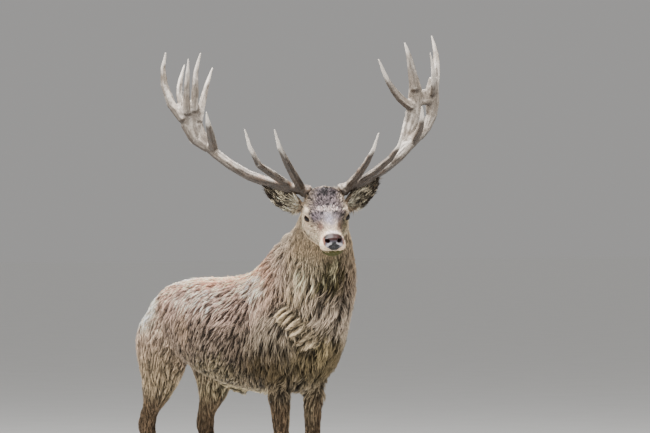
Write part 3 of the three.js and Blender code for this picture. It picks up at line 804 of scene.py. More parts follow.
# %% Places of the markings: centre, radii, paint and strength
COAT = paint(127, 112, 98)
BODY_PATCHES = [  # in the stag's frame
    # the reddish back, made paler than the hair is as painted light from above
    ((0, 0.2, 1.1), (0.19, 0.46, 0.085), (255, 188, 152), 0.95),
    ((0, 0.5, 1.02), (0.17, 0.22, 0.09), (236, 190, 162), 0.9),
    # the upper flank, partly painted light from above
    ((0.2, 0.12, 1), (0.1, 0.32, 0.075), (212, 182, 166), 0.85),
    ((0.05, 0.4, 1.07), (0.05, 0.07, 0.02), (246, 224, 204), 0.8),
    # a painted sheen of wet hair on top of the shoulder
    ((0.146, -0.19, 1.055), (0.04, 0.055, 0.045), (240, 212, 190), 0.9),
    ((0.18, 0.52, 0.84), (0.14, 0.16, 0.11), (190, 166, 146), 0.8),
    ((0.15, 0.54, 0.945), (0.05, 0.06, 0.055), (255, 236, 212), 1),
    ((0.21, 0.21, 0.885), (0.05, 0.035, 0.055), (172, 148, 124), 0.85),
    ((0.2, 0.46, 0.7), (0.14, 0.14, 0.1), (172, 152, 122), 0.75),
    ((0, 0.67, 0.88), (0.06, 0.06, 0.12), (206, 170, 126), 1),
    ((0, 0.15, 0.6), (0.2, 0.42, 0.07), (176, 162, 128), 0.85),
    ((0.2, 0.06, 0.7), (0.1, 0.24, 0.06), (136, 124, 96), 0.7),
    # dark brown under the shoulder, deepened by painted shade
    ((0.15, -0.27, 0.73), (0.09, 0.13, 0.11), (80, 67, 46), 0.9),
    ((0, -0.4, 0.77), (0.14, 0.18, 0.14), (96, 84, 56), 0.9),
    ((0.14, -0.42, 1.14), (0.08, 0.14, 0.11), (148, 133, 119), 0.85),
    ((0.1, -0.54, 1.22), (0.09, 0.12, 0.08), (176, 154, 122), 0.85),
    ((0, -0.54, 0.98), (0.13, 0.1, 0.07), (168, 152, 134), 0.85),
]
ONE_SIDED = [  # markings that have no mirror image
    ((-0.134, -0.524, 1.12), (0.045, 0.07, 0.07), (196, 180, 152), 0.85),
    ((0.06, -0.56, 1.12), (0.06, 0.08, 0.09), (128, 112, 94), 0.8),
    ((-0.068, -0.58, 1.11), (0.06, 0.08, 0.08), (76, 70, 38), 0.95),
    ((-0.071, -0.588, 1.125), (0.011, 0.06, 0.036), (198, 186, 150), 0.85),
    ((-0.125, -0.43, 1.02), (0.022, 0.05, 0.06), (176, 158, 128), 0.8),
    ((-0.095, -0.45, 0.91), (0.022, 0.05, 0.07), (172, 154, 122), 0.8),
    ((-0.035, -0.45, 0.81), (0.026, 0.05, 0.06), (156, 140, 104), 0.8),
]
HEAD_PATCHES = [  # in the head's frame
    ((0.06, 0.06, -0.11), (0.08, 0.08, 0.06), (198, 176, 142), 0.9),
    ((0.088, 0.01, -0.055), (0.05, 0.08, 0.05), (240, 214, 184), 0.9),
    ((0.074, -0.075, -0.03), (0.03, 0.05, 0.03), (222, 196, 168), 0.9),
    ((0.05, 0.085, 0.085), (0.03, 0.03, 0.03), (178, 156, 130), 0.8),
    ((0, 0.042, 0.092), (0.072, 0.066, 0.058), (100, 90, 92), 1),
    ((0, -0.01, 0.07), (0.062, 0.036, 0.034), (116, 104, 106), 0.95),
    ((0.044, -0.06, 0.036), (0.034, 0.06, 0.03), (116, 104, 108), 1),
    ((0.014, -0.044, 0.056), (0.03, 0.01, 0.018), (232, 208, 198), 0.85),
    ((0, -0.11, 0.04), (0.022, 0.06, 0.018), (146, 140, 150), 0.95),
    ((0.038, -0.138, 0.018), (0.014, 0.036, 0.018), (112, 84, 74), 0.9),
    ((0, -0.202, 0.022), (0.05, 0.01, 0.01), (236, 220, 212), 1),
    ((0.046, -0.215, -0.018), (0.026, 0.034, 0.03), (255, 218, 186), 1),
    ((0.082, 0.012, 0.034), (0.016, 0.03, 0.014), (236, 212, 186), 0.95),
    ((0.094, -0.01, -0.02), (0.018, 0.022, 0.008), (206, 180, 154), 0.8),
    ((0.106, 0.086, 0.016), (0.02, 0.028, 0.03), (112, 82, 46), 0.95),
]
# painted shade on the stag's left cheek, the side away from the lamps
LEFT_CHEEK_SHADE = [((0.075, -0.09, -0.03), (0.035, 0.1, 0.055), (134, 122, 88), 0.9)]
TEAR_LINE = (0.068, -0.030, -0.002), (0.058, -0.064, -0.018)  # from the eye's front corner
DARK_CURLS = [  # where short dark curls stand in the coat of the face: place, radii, how many
    ((0, 0.05, 0.09), (0.07, 0.06, 0.055), 1),
    ((0.046, -0.05, 0.042), (0.036, 0.06, 0.034), 0.9),
    ((0, -0.02, 0.07), (0.034, 0.04, 0.03), 0.9),
    ((0.106, 0.09, 0.014), (0.02, 0.03, 0.034), 1),
    ((0.068, 0.03, 0.064), (0.014, 0.02, 0.014), 1),
    ((0.07, -0.08, -0.03), (0.03, 0.05, 0.03), 0.45),
]
CURLS = np.array([(-0.144, -0.385, 0.958), (-0.120, -0.430, 0.915), (-0.060, -0.456, 0.834)])
DEWCLAWS = (0.085, -0.235), (-0.085, -0.244), (0.106, 0.473), (-0.106, 0.603)  # each leg's pair


# %% Painting by place
def from_curls(stag):
    """How far points are from the slanting band of curly tufts before the right shoulder."""
    return np.minimum(from_line(stag, *CURLS[:2]), from_line(stag, *CURLS[1:]))


def on_dewclaws(stag):
    """1 on the two small horny claws behind each fetlock."""
    claws = [(x + beside, y + 0.006, 0.084) for x, y in DEWCLAWS for beside in (-0.015, 0.015)]
    return smoothstep(0.018, 0.013, np.min([norm((stag - c) * (1, 1, 0.6)) for c in claws], axis=0))


def covered(colour, *layers):
    """Colours with others over them: each a mask and its light values."""
    for mask, over in layers:
        colour = colour + np.asarray(mask)[:, None] * (np.array(over) - colour)
    return colour


def patched(colour, at, patches, inside, share=1):
    """Colours with soft patches over them. Those within share keep that share of each patch."""
    for place, radii, shade, strength in patches:
        near = np.clip(1.5 * bump_at(at, place, radii) * inside, 0, 1)
        colour = covered(colour, (near * strength * share, paint(*shade)))
    return colour


def dark_curls(local):
    """0 to 1: dark specks among the face's short hair."""
    many = np.max([m * bump_at(mirrored(local), p, r) for p, r, m in DARK_CURLS], axis=0)
    specks = noise(local * [0.7, 1, 1], 0.0085, 21) + 0.5 * noise(local, 0.0045, 22)
    return smoothstep(0.55 - 0.62 * many, 0.68 - 0.62 * many, specks) * smoothstep(0.05, 0.25, many)


def ear_paint(local, facing):
    """The ear's colours: a dark rim, pale at the root, dark curls and pale tufts in its cup."""
    along, up, _ = in_ear(local)
    top = np.interp(along, (-0.08, -0.04, 0.00, 0.04, 0.087), (0.024, 0.040, 0.022, 0.008, 0.0))
    low = np.interp(along, (-0.08, -0.02, 0.02, 0.06, 0.087), (-0.047, -0.053, -0.042, -0.023, -0.001))
    share = (up - low) / np.maximum(top - low, 0.004)
    rim = smoothstep(0.24, 0.10, np.minimum(share, 1 - share)) * smoothstep(-0.075, -0.04, along)
    tangle = noise(local * [1, 1, 1.6], 0.011, 31) + 0.8 * noise(local, 0.0055, 32)
    cup = covered(
        np.array(paint(44, 36, 30)),
        (smoothstep(-0.45, 0.30, tangle), paint(194, 182, 158)),
        (smoothstep(-0.035, -0.070, along) * 0.8, paint(208, 198, 176)),
        (smoothstep(-0.02, 0.05, along) * 0.7, paint(74, 64, 52)),
    )
    outside = np.array(paint(110, 96, 78))
    return covered(outside, (smoothstep(0.0, 0.4, facing), cup), (rim * 0.85, paint(46, 36, 30)))


def markings(points, normals):
    """The coat's colour at points, as light values."""
    stag, local = to_stag(points), mirrored(to_head(points))
    part = parts_of_body(points)
    off_head, face = 1 - part["head"], part["head"] * (1 - part["ear"])
    wander = to_stag(wandering(points, 0.02, 0.09, (1, 2, 3)))
    inside = part["legs"] * smoothstep(0.09, 0.05, np.abs(stag[:, 0])) * smoothstep(0.4, 0.6, stag[:, 2])
    colour = covered(
        np.array(COAT),
        (part["mane"], paint(154, 141, 124)),
        (near_head(points) * 0.85, paint(180, 161, 136)),
    )
    colour = patched(colour, mirrored(wander), BODY_PATCHES, off_head)
    colour = patched(colour, wander, ONE_SIDED, off_head)
    colour = covered(
        colour,
        (smoothstep(0.036, 0.024, from_curls(stag)) * 0.95, paint(188, 170, 140)),
        (part["legs"] * 0.85, paint(98, 80, 58)),
        (smoothstep(0.36, 0.18, stag[:, 2]) * 0.8, paint(86, 70, 52)),
        (on_dewclaws(stag) * 0.95, paint(50, 44, 40)),
        (inside * 0.6, paint(160, 144, 116)),
        (face, paint(192, 172, 146)),
    )
    colour = patched(colour, wandering(local, 0.005, 0.03, (4, 5, 6)), HEAD_PATCHES, 1, face)
    # painted shade on the left cheek
    colour = patched(colour, to_head(points), LEFT_CHEEK_SHADE, 1, face)
    lip = -0.0405 - 0.20 * np.clip(local[:, 0] - 0.012, 0, 0.04)
    chin = smoothstep(0.001, -0.004, local[:, 2] - lip) * smoothstep(-0.09, -0.13, local[:, 1])
    almond, _, outward, away = seen_from_eye(local)
    lid = smoothstep(1.42, 1.10, almond) * (away < 0.03) * (outward > 0)
    facing = ((normals @ head_axes) * sides(to_head(points))) @ EAR_LOOKS
    colour = covered(
        colour,
        (smoothstep(0.0060, 0.0025, from_line(local, *TEAR_LINE)) * 0.85, paint(62, 46, 38)),
        (chin * face, paint(84, 82, 32)),
        (dark_curls(local) * 0.9 * face, paint(30, 24, 26)),
        (lid * 0.9, paint(44, 34, 30)),
        (part["ear"], ear_paint(local, facing)),
    )
    mottle = 1 + 0.18 * noise(points, 0.05, 6) + 0.12 * noise(points, 0.02, 7)
    return np.clip(colour * mottle[:, None], 0.002, 0.95)


# %% The bare nose
NOSE_SIDE = 0.002  # the nose sits a little to one side


def nose_mask(local):
    """1 on the wet bare pad between and round the nostrils."""
    z = local[:, 2]
    heights = (-0.037, -0.026, -0.016, -0.004, 0.006, 0.015, 0.022)
    wide = np.interp(z, heights, (0.012, 0.028, 0.040, 0.044, 0.041, 0.031, 0.014))
    pad = smoothstep(0.0015, -0.0015, np.abs(local[:, 0] - NOSE_SIDE) - wide)
    pad *= smoothstep(-0.0395, -0.0370, z) * smoothstep(0.0230, 0.0200, z)
    return pad * smoothstep(-0.200, -0.216, local[:, 1])


def nose_paint(local):
    """Charcoal below, brown above, orange at the wings; a grey-blue band, pale rings under the nostrils
    and pale specks on the charcoal are painted wet sheen.
    """
    uneven = wandering(local, 0.0018, 0.006, (41, 42, 43))
    x, z = np.abs(uneven[:, 0] - NOSE_SIDE), uneven[:, 2]
    below = from_line(np.stack([x, z], axis=1), (0.012, -0.008), (0.030, -0.018))
    wing = smoothstep(0.0325, 0.0375, x) * smoothstep(-0.028, -0.016, z) * smoothstep(0.010, 0.000, z)
    wide = np.interp(z, (-0.040, -0.033, -0.020, -0.010, 0.000), (0.007, 0.017, 0.0235, 0.010, 0.005))
    diamond = smoothstep(0.0030, -0.0030, x - wide) * smoothstep(0.003, -0.005, z)
    return covered(
        np.array(paint(76, 52, 48)),
        (smoothstep(0.018, 0.028, x) * smoothstep(0.004, 0.010, z), paint(46, 32, 30)),
        # painted wet sheen: a grey-blue band round the nostrils and a pale ring under them
        (smoothstep(0.007, -0.003, z), paint(112, 108, 118)),
        (smoothstep(0.0075, 0.0025, below), paint(190, 184, 190)),
        (wing * 0.8, paint(158, 106, 80)),
        (diamond, paint(58, 56, 57)),
        # painted highlights on the charcoal's pebbles
        (diamond * smoothstep(0.1, 0.7, noise(local, 0.0045, 44)) * 0.35, paint(124, 124, 134)),
    )


points = points_of(skin_mesh)
local = to_head(points)
bare = nose_mask(local)
shade = markings(points, normals_of(skin_mesh))
shade = covered(shade, (bare, nose_paint(local)), (nostril_depth, paint(58, 30, 28)))
keep(skin_mesh, "markings", shade)
keep(skin_mesh, "bare", bare)
print("bare skin of the nose:", int((bare > 0.5).sum()), "vertices")

# %% [markdown]
# ## The lie of the coat
# Hair doesn't point anywhere: it runs back from the nose, down the neck and the legs, and back
# and down along the flanks. A few combed places say so, each with its direction, and every root
# takes the mean of the places round it, laid flat on the skin.

# %% Combed places, each with its direction; X is outwards
COMBED_BODY = [  # in the stag's frame
    ((0, -0.42, 1.36), (0, 0.55, -0.8)),
    ((0, -0.22, 1.2), (0, 0.8, -0.5)),
    ((0, 0, 1.11), (0.1, 1, -0.15)),
    ((0, 0.3, 1.09), (0.1, 1, -0.1)),
    ((0, 0.52, 1.03), (0.1, 0.9, -0.5)),
    ((0.06, 0.63, 0.92), (0, 0.3, -1)),
    ((0.15, -0.02, 1.07), (0.3, 0.75, -0.55)),
    ((0.2, 0.15, 0.98), (0.1, 0.62, -0.78)),
    ((0.23, 0.1, 0.85), (0, 0.5, -0.88)),
    ((0.21, 0.12, 0.7), (0, 0.6, -0.8)),
    ((0, 0.1, 0.6), (0, 1, 0)),
    ((0.16, 0.36, 0.96), (0.1, 0.62, -0.76)),
    ((0.19, 0.48, 0.84), (0, 0.22, -1)),
    ((0.18, 0.36, 0.74), (0, 0.45, -0.9)),
    ((0.13, 0.6, 0.8), (0, 0.05, -1)),
    ((0.13, -0.16, 1.08), (0.2, 0.62, -0.8)),
    ((0.19, -0.25, 0.92), (0, 0.36, -1)),
    ((0.18, -0.3, 0.74), (0, 0.2, -1)),
    ((0.14, -0.46, 1.1), (0.1, 0.22, -1)),
    ((0.15, -0.46, 0.9), (-0.1, 0.05, -1)),
    ((0.05, -0.56, 0.98), (0.4, 0.1, -1)),
    ((0.04, -0.54, 0.9), (0.3, 0.1, -1)),
    ((0.03, -0.48, 0.76), (-0.1, 0.2, -1)),
    ((0, -0.35, 0.63), (0, 0.7, -0.6)),
    ((0.02, -0.64, 1.2), (0, 0, -1)),
    ((0.1, -0.27, 0.5), (0, 0.05, -1)),
    ((0.1, -0.27, 0.15), (0, 0, -1)),
    ((0.11, 0.5, 0.55), (0, 0.15, -1)),
    ((0.11, 0.52, 0.2), (0, 0, -1)),
    ((0, 0.67, 0.9), (0, 0.15, -1)),
]
COMBED_BODY = [(place, unit(np.array(way, float))) for place, way in COMBED_BODY]
COMBED_HEAD = [  # in the head's frame
    ((0, -0.2, 0.03), (0.1, 1, 0.15)),
    ((0, -0.08, 0.05), (0.15, 1, 0.1)),
    ((0, 0.03, 0.08), (0.25, 1, 0.15)),
    ((0.04, -0.21, -0.03), (0.2, 1, -0.25)),
    ((0.07, -0.09, -0.04), (0.1, 0.9, -0.4)),
    ((0.08, 0, -0.05), (0.1, 0.6, -0.8)),
    ((0.08, 0.06, -0.09), (0, 0.35, -1)),
    ((0, -0.18, -0.09), (0.1, 0.8, -0.5)),
    ((0, -0.05, -0.12), (0, 0.5, -0.9)),
    ((0.09, 0.06, 0.02), (0.5, 0.6, -0.5)),
    ((0.1, 0.1, 0.045), (0.79, 0.2, 0.6)),
    ((0.23, 0.146, 0.156), (0.79, 0.2, 0.6)),
]
HELD_BACK = 0.02  # how near a combed place counts fully
CURLS_LIE = np.array((-0.58, 0.47, -0.60))  # the band's lumps roll out across it


# %% Combing
def combed(at, places):
    """The mean way of the places round each point, which is mirrored on the right."""
    total, mirror = np.zeros_like(at), mirrored(at)
    for place, way in places:
        apart = norm(mirror - np.array(place))
        total += np.array(way) / (apart[:, None] ** 4 + HELD_BACK**4)
    return unit(total) * sides(at)


def lie_of_coat(points, normals):
    stag = to_stag(points)
    curls = smoothstep(0.040, 0.028, from_curls(stag))[:, None]
    on_body = combed(stag, COMBED_BODY) * (1 - curls) + CURLS_LIE * curls
    share = parts_of_body(points)["head"][:, None]
    total = on_body * (1 - share) + (combed(to_head(points), COMBED_HEAD) @ head_axes.T) * share
    return unit(total - (total * normals).sum(axis=1)[:, None] * normals)


# %% [markdown]
# ## One tuft, many times
# A tuft is a thin lock with three sides that lies along the skin and closes to a point. Half of
# its shape comes from its root and its length, and half from its clump: wet hairs stick
# together, so the tips of neighbours are drawn to one place and dark gaps open between clumps.
# Painted shade deepens the gaps and the roots, and painted light brightens the clumps' middles.
# All tufts of a coat piece are made at once as arrays, and joined in one mesh.

# %% Making tufts
skin_tree = BVHTree.FromPolygons(
    [tuple(p) for p in points_of(skin_mesh)], [tuple(p.vertices) for p in skin_mesh.polygons]
)


def on_skin(points):
    """The nearest places on the skin, with the skin's normals there."""
    found = [skin_tree.find_nearest(Vector(p))[:2] for p in points]
    return np.array([f[0] for f in found]), np.array([f[1] for f in found])


def clumps_of(roots, lie, seeds, stretch):
    """Each root's clump: of its nearest seeds, the one most nearly in line with its hair."""
    tree = KDTree(len(seeds))
    for k, seed in enumerate(roots[seeds]):
        tree.insert(seed, k)
    tree.balance()
    near = np.array([[found[1] for found in tree.find_n(p, min(8, len(seeds)))] for p in roots])
    gap = roots[seeds][near] - roots[:, None]
    along = (gap * lie[:, None]).sum(axis=2)
    apart = (gap**2).sum(axis=2) - along**2 + (along / stretch[:, None]) ** 2
    return seeds[near[np.arange(len(roots)), apart.argmin(axis=1)]]


def unwrapped(mesh, faces, name):
    """Some of the skin's faces, opened out flat: triangles, their normals and their UVs."""
    shape = bmesh.new()
    shape.from_mesh(mesh)
    chosen = set(faces.tolist())
    drop = [f for f in shape.faces if f.index not in chosen]
    bmesh.ops.delete(shape, geom=drop, context="FACES")
    bmesh.ops.triangulate(shape, faces=shape.faces)
    piece = add_object(name, shape)
    bpy.context.view_layer.objects.active = piece
    piece.select_set(True)
    bpy.ops.object.mode_set(mode="EDIT")
    bpy.ops.mesh.select_all(action="SELECT")
    bpy.ops.uv.smart_project(angle_limit=math.radians(66), island_margin=0.002)
    bpy.ops.object.mode_set(mode="OBJECT")
    flat = piece.data
    corners = read(flat.loops, "vertex_index", 1, np.int64).ravel()
    uv = read(flat.uv_layers.active.data, "uv", 2).reshape(-1, 3, 2)
    triangles, even = (of(flat)[corners].reshape(-1, 3, 3) for of in (points_of, normals_of))
    bpy.data.objects.remove(piece)
    return triangles, even, uv


def scattered(triangles, wanted):
    """Triangles and weights of roots: spread by area times the wanted density."""
    edge = triangles[:, 1:] - triangles[:, :1]
    area = norm(np.cross(edge[:, 0], edge[:, 1])) / 2
    share = np.cumsum(area * wanted)
    count = int(share[-1])
    picks = (np.arange(count) + random.random(count)) / count * share[-1]
    chosen = np.searchsorted(share, picks).clip(0, len(area) - 1)
    a, b = random.random((2, count))
    over = a + b > 1
    a, b = np.where(over, 1 - a, a), np.where(over, 1 - b, b)
    return chosen, np.stack([1 - a - b, a, b], axis=1)


PATCH = 0.003  # a tuft's patch on the map of its roots
ACROSS_PATCH = (0, 1, 0.5)  # where the three corners of a ring are on it


def tuft_mesh(name, steps, path, across, out, widths, look, root_uv, shades):
    """Joins tufts. path is tufts x steps x 3, the last step being the tip."""
    count, rows = path.shape[0], len(steps) - 1
    body = path[:, :-1]
    half = across * widths[:, :, None] / 2
    crest = out * (widths * look["thick"][:, None])[:, :, None]
    rings = np.stack([body - half, body + half, body + crest], axis=2).reshape(count, rows * 3, 3)
    verts = np.concatenate([rings, path[:, -1:]], axis=1)
    per = rows * 3 + 1
    faces = [(0, 1, 2)]
    for r in range(rows - 1):
        for k in range(3):
            a, b = r * 3 + k, r * 3 + (k + 1) % 3
            faces += [(a, a + 3, b + 3), (a, b + 3, b)]
    for k in range(3):
        a, b = (rows - 1) * 3 + k, (rows - 1) * 3 + (k + 1) % 3
        faces.append((a, per - 1, b))
    corners = (np.array(faces) + np.arange(count)[:, None, None] * per).ravel()
    mesh = bpy.data.meshes.new(name)
    mesh.vertices.add(count * per)
    mesh.vertices.foreach_set("co", verts.astype(np.float32).ravel())
    mesh.loops.add(len(corners))
    mesh.loops.foreach_set("vertex_index", corners.astype(np.int32))
    mesh.polygons.add(len(corners) // 3)
    mesh.polygons.foreach_set("loop_start", np.arange(0, len(corners), 3, dtype=np.int32))
    mesh.polygons.foreach_set("use_smooth", np.ones(len(corners) // 3, bool))
    mesh.update(calc_edges=True)
    patch = np.array([(ACROSS_PATCH[k % 3], steps[k // 3]) for k in range(rows * 3)] + [(0.5, 1)])
    uv = np.clip((root_uv[:, None] + (patch - 0.5) * PATCH).reshape(-1, 2), 0.0005, 0.9995)
    mesh.uv_layers.new(name="OFBake").data.foreach_set("uv", uv[corners].astype(np.float32).ravel())
    keep(mesh, "markings", np.repeat(shades, per, axis=0))
    # along runs from 0 at the root to 1 at the tip; shaded says how much painted shade the root gets
    keep(mesh, "along", 1 - (1 - np.append(np.repeat(steps[:-1], 3), 1.0)) * look["shaded"][:, None])
    return mesh


# %% [markdown]
# ## Growing a coat piece
# Every root knows its place, so it knows its length, its width, how far it stands out, and how
# strongly its clump pulls. The tuft starts a little under the skin, rises to the coat's depth
# and then follows the skin: its middle and its tip are put back over the skin's nearest place.


# %% Growing
def grown(name, triangles, even, flat, steps):
    """One coat piece, whose tufts have rings at these steps of their length."""
    chosen, weights = scattered(triangles, look_of_coat(triangles.mean(axis=1))["density"])
    roots, normals, root_uv = (
        (corners[chosen] * weights[:, :, None]).sum(axis=1) for corners in (triangles, even, flat)
    )
    normals = unit(normals)
    own = look_of_coat(roots)
    count = len(roots)
    lie = lie_of_coat(roots, normals)

    # A clump is a narrow strip along the hair. Its tufts run side by side, and close together.
    share = 1.0 / np.maximum(own["density"] * own["clump"] ** 2 * own["stretch"], 1e-9)
    seeds = np.flatnonzero(random.random(count) < share)
    if "curls" in name:  # a row of round lumps
        shares = np.linspace(0, 1, 7), np.linspace(0, 1, len(CURLS))
        lumps = np.stack([np.interp(*shares, axis) for axis in CURLS.T], axis=1)
        seeds = np.array([norm(to_stag(roots) - lump).argmin() for lump in lumps])
    member = clumps_of(roots, lie, seeds, own["stretch"])
    side = np.cross(normals, lie)
    sway = 0.34 * noise(roots, 0.045, 11) + 0.30 * noise(roots, 0.014, 12)
    sway = (sway[member] + 0.06 * random.normal(size=count)) * own["sway"]
    lie = lie * np.cos(sway)[:, None] + side * np.sin(sway)[:, None]
    length = own["length"] * np.clip(1 + 0.22 * random.normal(size=count), 0.5, 1.5)
    beside = ((roots - roots[member]) * side[member]).sum(axis=1)
    beside = np.clip(beside, -1.5 * own["clump"], 1.5 * own["clump"])
    apart = norm(roots - roots[member])
    before = np.sqrt(np.maximum(apart**2 - beside**2, 0)) / own["stretch"]
    to_edge = smoothstep(0.10, 0.52, np.hypot(beside, 0.5 * before) / own["clump"])
    pull = own["pull"] * np.clip(0.85 + 0.2 * random.normal(size=count), 0.2, 1.1)
    drawn = side[member] * (beside * pull)[:, None]
    target = roots + lie * length[:, None] - drawn
    half = roots + lie * length[:, None] * 0.5 - drawn * 0.7
    far, far_out = on_skin(target)
    mid, mid_out = on_skin(half)
    # Where the nearest skin is another part of the body, the tuft stays straight.
    for found, wanted, own_out in ((far, target, far_out), (mid, half, mid_out)):
        jumped = smoothstep(0.25, 0.45, norm(found - wanted) / length)[:, None]
        found += (wanted - found) * jumped
        own_out += (normals - own_out) * jumped

    # A tuft's path: from under the skin, past its middle and to its tip, with a wave if it curls.
    layer = 0.6 * (1 - to_edge) + 0.4 * random.random(count)
    lift = np.minimum(coat_depth(roots), 0.4 * length) * (0.20 + 0.80 * layer)
    clump_lift = own["lift"] * (1 + 0.8 * noise(roots[member], 0.03, 14)) * (1 - 0.7 * to_edge)
    stray = own["stray"] * np.clip(random.normal(size=count) - 1.2, 0, 2) * length
    tip = far + far_out * (lift * 0.8 + clump_lift + stray)[:, None]
    mid = mid + mid_out * (lift + clump_lift * 0.6)[:, None]
    curl = own["curl"] * (0.6 + 0.8 * random.random(count))
    start = roots - normals * np.minimum(0.0015, 0.15 * coat_depth(roots))[:, None]
    pull_point = 2 * mid - (start + tip) / 2
    s = np.array(steps)[None, :, None]
    path = start[:, None] * (1 - s) ** 2 + 2 * pull_point[:, None] * s * (1 - s) + tip[:, None] * s**2
    phase = 6.3 * hashed(np.stack([member, member * 5, member * 11], axis=1))[:, None, None]
    wave = (np.sin(s * 7.0 + phase) - np.sin(phase)) * s
    path = path + side[:, None] * wave * (curl * length)[:, None, None]
    run = np.gradient(path, axis=1)[:, :-1]
    across = unit(np.cross(run, np.broadcast_to(normals[:, None], run.shape)))
    rise = unit(np.cross(across, run))
    taper = np.interp(steps[:-1], (0, 0.3, 0.7, 1), (0.7, 1.0, 0.72, 0.2))
    widths = own["width"][:, None] * taper * (0.75 + 0.5 * random.random((count, 1)))

    # A clump has its own tone, and each tuft differs a little. Painted shade darkens the clump's
    # edge and painted light brightens its middle, and one tuft in ten is a painted glint of wet hair.
    own_tone = 2 * hashed(np.stack([member, member * 7, member * 13], axis=1)) - 1
    astray = 0.15 if "curls" in name else 1.2
    tone = 1 + 0.32 * own_tone * own["tone"]
    # painted shade at the clump's edge, painted light in its middle
    tone *= 1 + own["tone"] * (0.72 - 1.25 * to_edge)
    tone *= 1 + own["tone"] * 0.30 * random.normal(size=count)
    # painted glints of wet hair
    tone *= 1 + own["tone"] * 0.8 * (random.random(count) < 0.10)
    strayed = roots + (roots[member] - roots) * 0.8
    strayed += random.normal(size=(count, 3))[member] * own["clump"][:, None] * astray
    shades = markings(strayed, normals) * np.clip(tone, 0.10, 2.6)[:, None]
    shades = np.clip(shades, 0.003, 0.9)
    return tuft_mesh(name, steps, path, across, rise, widths, own, root_uv, shades)


# %% [markdown]
# ## What grows where
# Long heavy locks hang from the neck and chest, middling wet clumps cover the trunk, and the
# hair gets short and fine towards the feet and the face. The numbers below are this stag's.

# %% Looks of the coat by place
# tone: how much clumps and tufts differ, and how strong the painted shade at clumps' edges, the painted
# light in their middles and the painted glints are. shaded: how much painted shade a tuft gets towards
# its root.
WORDS = "density length width clump stretch pull lift stray sway curl thick tone shaded".split()
LOOKS = {  # the density is in tufts for a square metre, and the lengths are in metres
    "trunk": (53000, 0.031, 0.0030, 0.0100, 2.4, 0.88, 0.0034, 0.06, 1.2, 0.00, 0.45, 1.20, 1.0),
    "mane": (37000, 0.066, 0.0031, 0.0095, 3.2, 0.88, 0.0044, 0.15, 1.3, 0.00, 0.45, 1.30, 1.0),
    "legs": (34000, 0.020, 0.0030, 0.0075, 3.0, 0.60, 0.0000, 0.02, 0.6, 0.00, 0.34, 0.9, 0.9),
    "head": (340000, 0.0120, 0.0011, 0.0040, 3.5, 0.60, 0.0000, 0.03, 0.9, 0.00, 0.30, 0.85, 0.50),
    "ear": (64000, 0.0190, 0.0018, 0.0070, 2.0, 0.70, 0.0008, 0.02, 1.4, 0.10, 0.35, 0.9, 0.7),
}


def on_crown(local):
    """1 on the forehead and the crown, where the hair is longer and curls."""
    high = local[:, 2] - 0.35 * local[:, 1]
    return smoothstep(0.040, 0.064, high) * smoothstep(-0.075, -0.045, local[:, 1])


def blended(look, share, **wanted):
    """Turns a share of the coat's look into other values."""
    for word, value in wanted.items():
        look[word] = look[word] * (1 - share) + value * share


def look_of_coat(points):
    """The value of every one of the words at points."""
    part = parts_of_body(points)
    stag, local = to_stag(points), to_head(points)
    y, z = stag[:, 1], stag[:, 2]
    rest = np.ones(len(points))
    shares = {}
    for region in ("ear", "head", "legs", "mane"):
        shares[region] = part[region] * rest
        rest = rest * (1 - part[region])
    shares["trunk"] = rest
    look = {w: sum(shares[r] * LOOKS[r][k] for r in shares) for k, w in enumerate(WORDS)}

    upper_leg = part["legs"] * smoothstep(0.30, 0.62, z) * (1 - part["head"])
    look["length"] *= 1 + 1.1 * upper_leg
    foot = smoothstep(0.34, 0.10, z)
    look["length"] *= 1 - 0.5 * foot
    look["width"] *= 1 - 0.4 * foot
    look["clump"] *= 1 - 0.3 * foot
    look["density"] *= (1 + 0.6 * foot) * (1 - on_dewclaws(stag))
    back = smoothstep(1.02, 1.09, z) * smoothstep(-0.1, 0.05, y)
    look["length"] *= 1 - 0.25 * back
    look["stray"] = look["stray"] + 0.22 * back
    rump = smoothstep(0.22, 0.45, y) * smoothstep(0.55, 0.70, z)
    look["tone"] *= 1 - 0.45 * np.maximum(back, 0.7 * rump)
    look["length"] *= 1 - 0.5 * part["mane"] * smoothstep(0.84, 0.66, z)
    fine = near_head(points) * (1 - part["ear"]) * (1 - part["head"])
    blended(look, fine, density=56000, length=0.020, width=0.0017, clump=0.0060)
    blended(look, fine, lift=0.0, sway=0.8, tone=0.7)
    look["length"] *= 1 - 0.65 * smoothstep(0.080, 0.045, from_curls(stag - (0, 0, 0.035)))
    curls = smoothstep(0.038, 0.026, from_curls(stag)) * (1 - part["head"])
    blended(look, curls, density=50000, length=0.030, width=0.0042, clump=0.034, stretch=1.0)
    blended(look, curls, lift=0.030, curl=0.16, pull=0.9, sway=0.2, stray=0.0, tone=0.55)
    taller = smoothstep(0.050, 0.095, local[:, 2])
    crown = on_crown(local) * (1 - part["ear"])
    blended(look, crown, density=120000, length=0.012 + 0.010 * taller, width=0.0014 + 0.0004 * taller)
    blended(look, crown, clump=0.0060, stretch=1.5, pull=0.9, lift=0.0004 + 0.0016 * taller)
    blended(look, crown, sway=2.0, curl=0.14, tone=1.0, shaded=0.75)
    almond, _, outward, away = seen_from_eye(local)
    in_opening = smoothstep(1.75, 1.30, almond) * (away < 0.03) * (outward > 0)
    look["length"] *= 1 - 0.60 * smoothstep(0.036, 0.024, from_eye(points))
    clear = (1 - in_opening) * (1 - nose_mask(local))
    clear *= smoothstep(0.010, 0.022, norm(mirrored(local) - NOSTRIL_AT))
    look["density"] = look["density"] * clear
    jowl = smoothstep(-0.02, -0.07, local[:, 2]) * smoothstep(-0.15, -0.08, local[:, 1])
    look["length"] *= 1 + 0.7 * jowl * part["head"]
    near_nose = part["head"] * smoothstep(-0.10, -0.21, local[:, 1])
    look["length"] *= 1 - 0.5 * near_nose
    return look


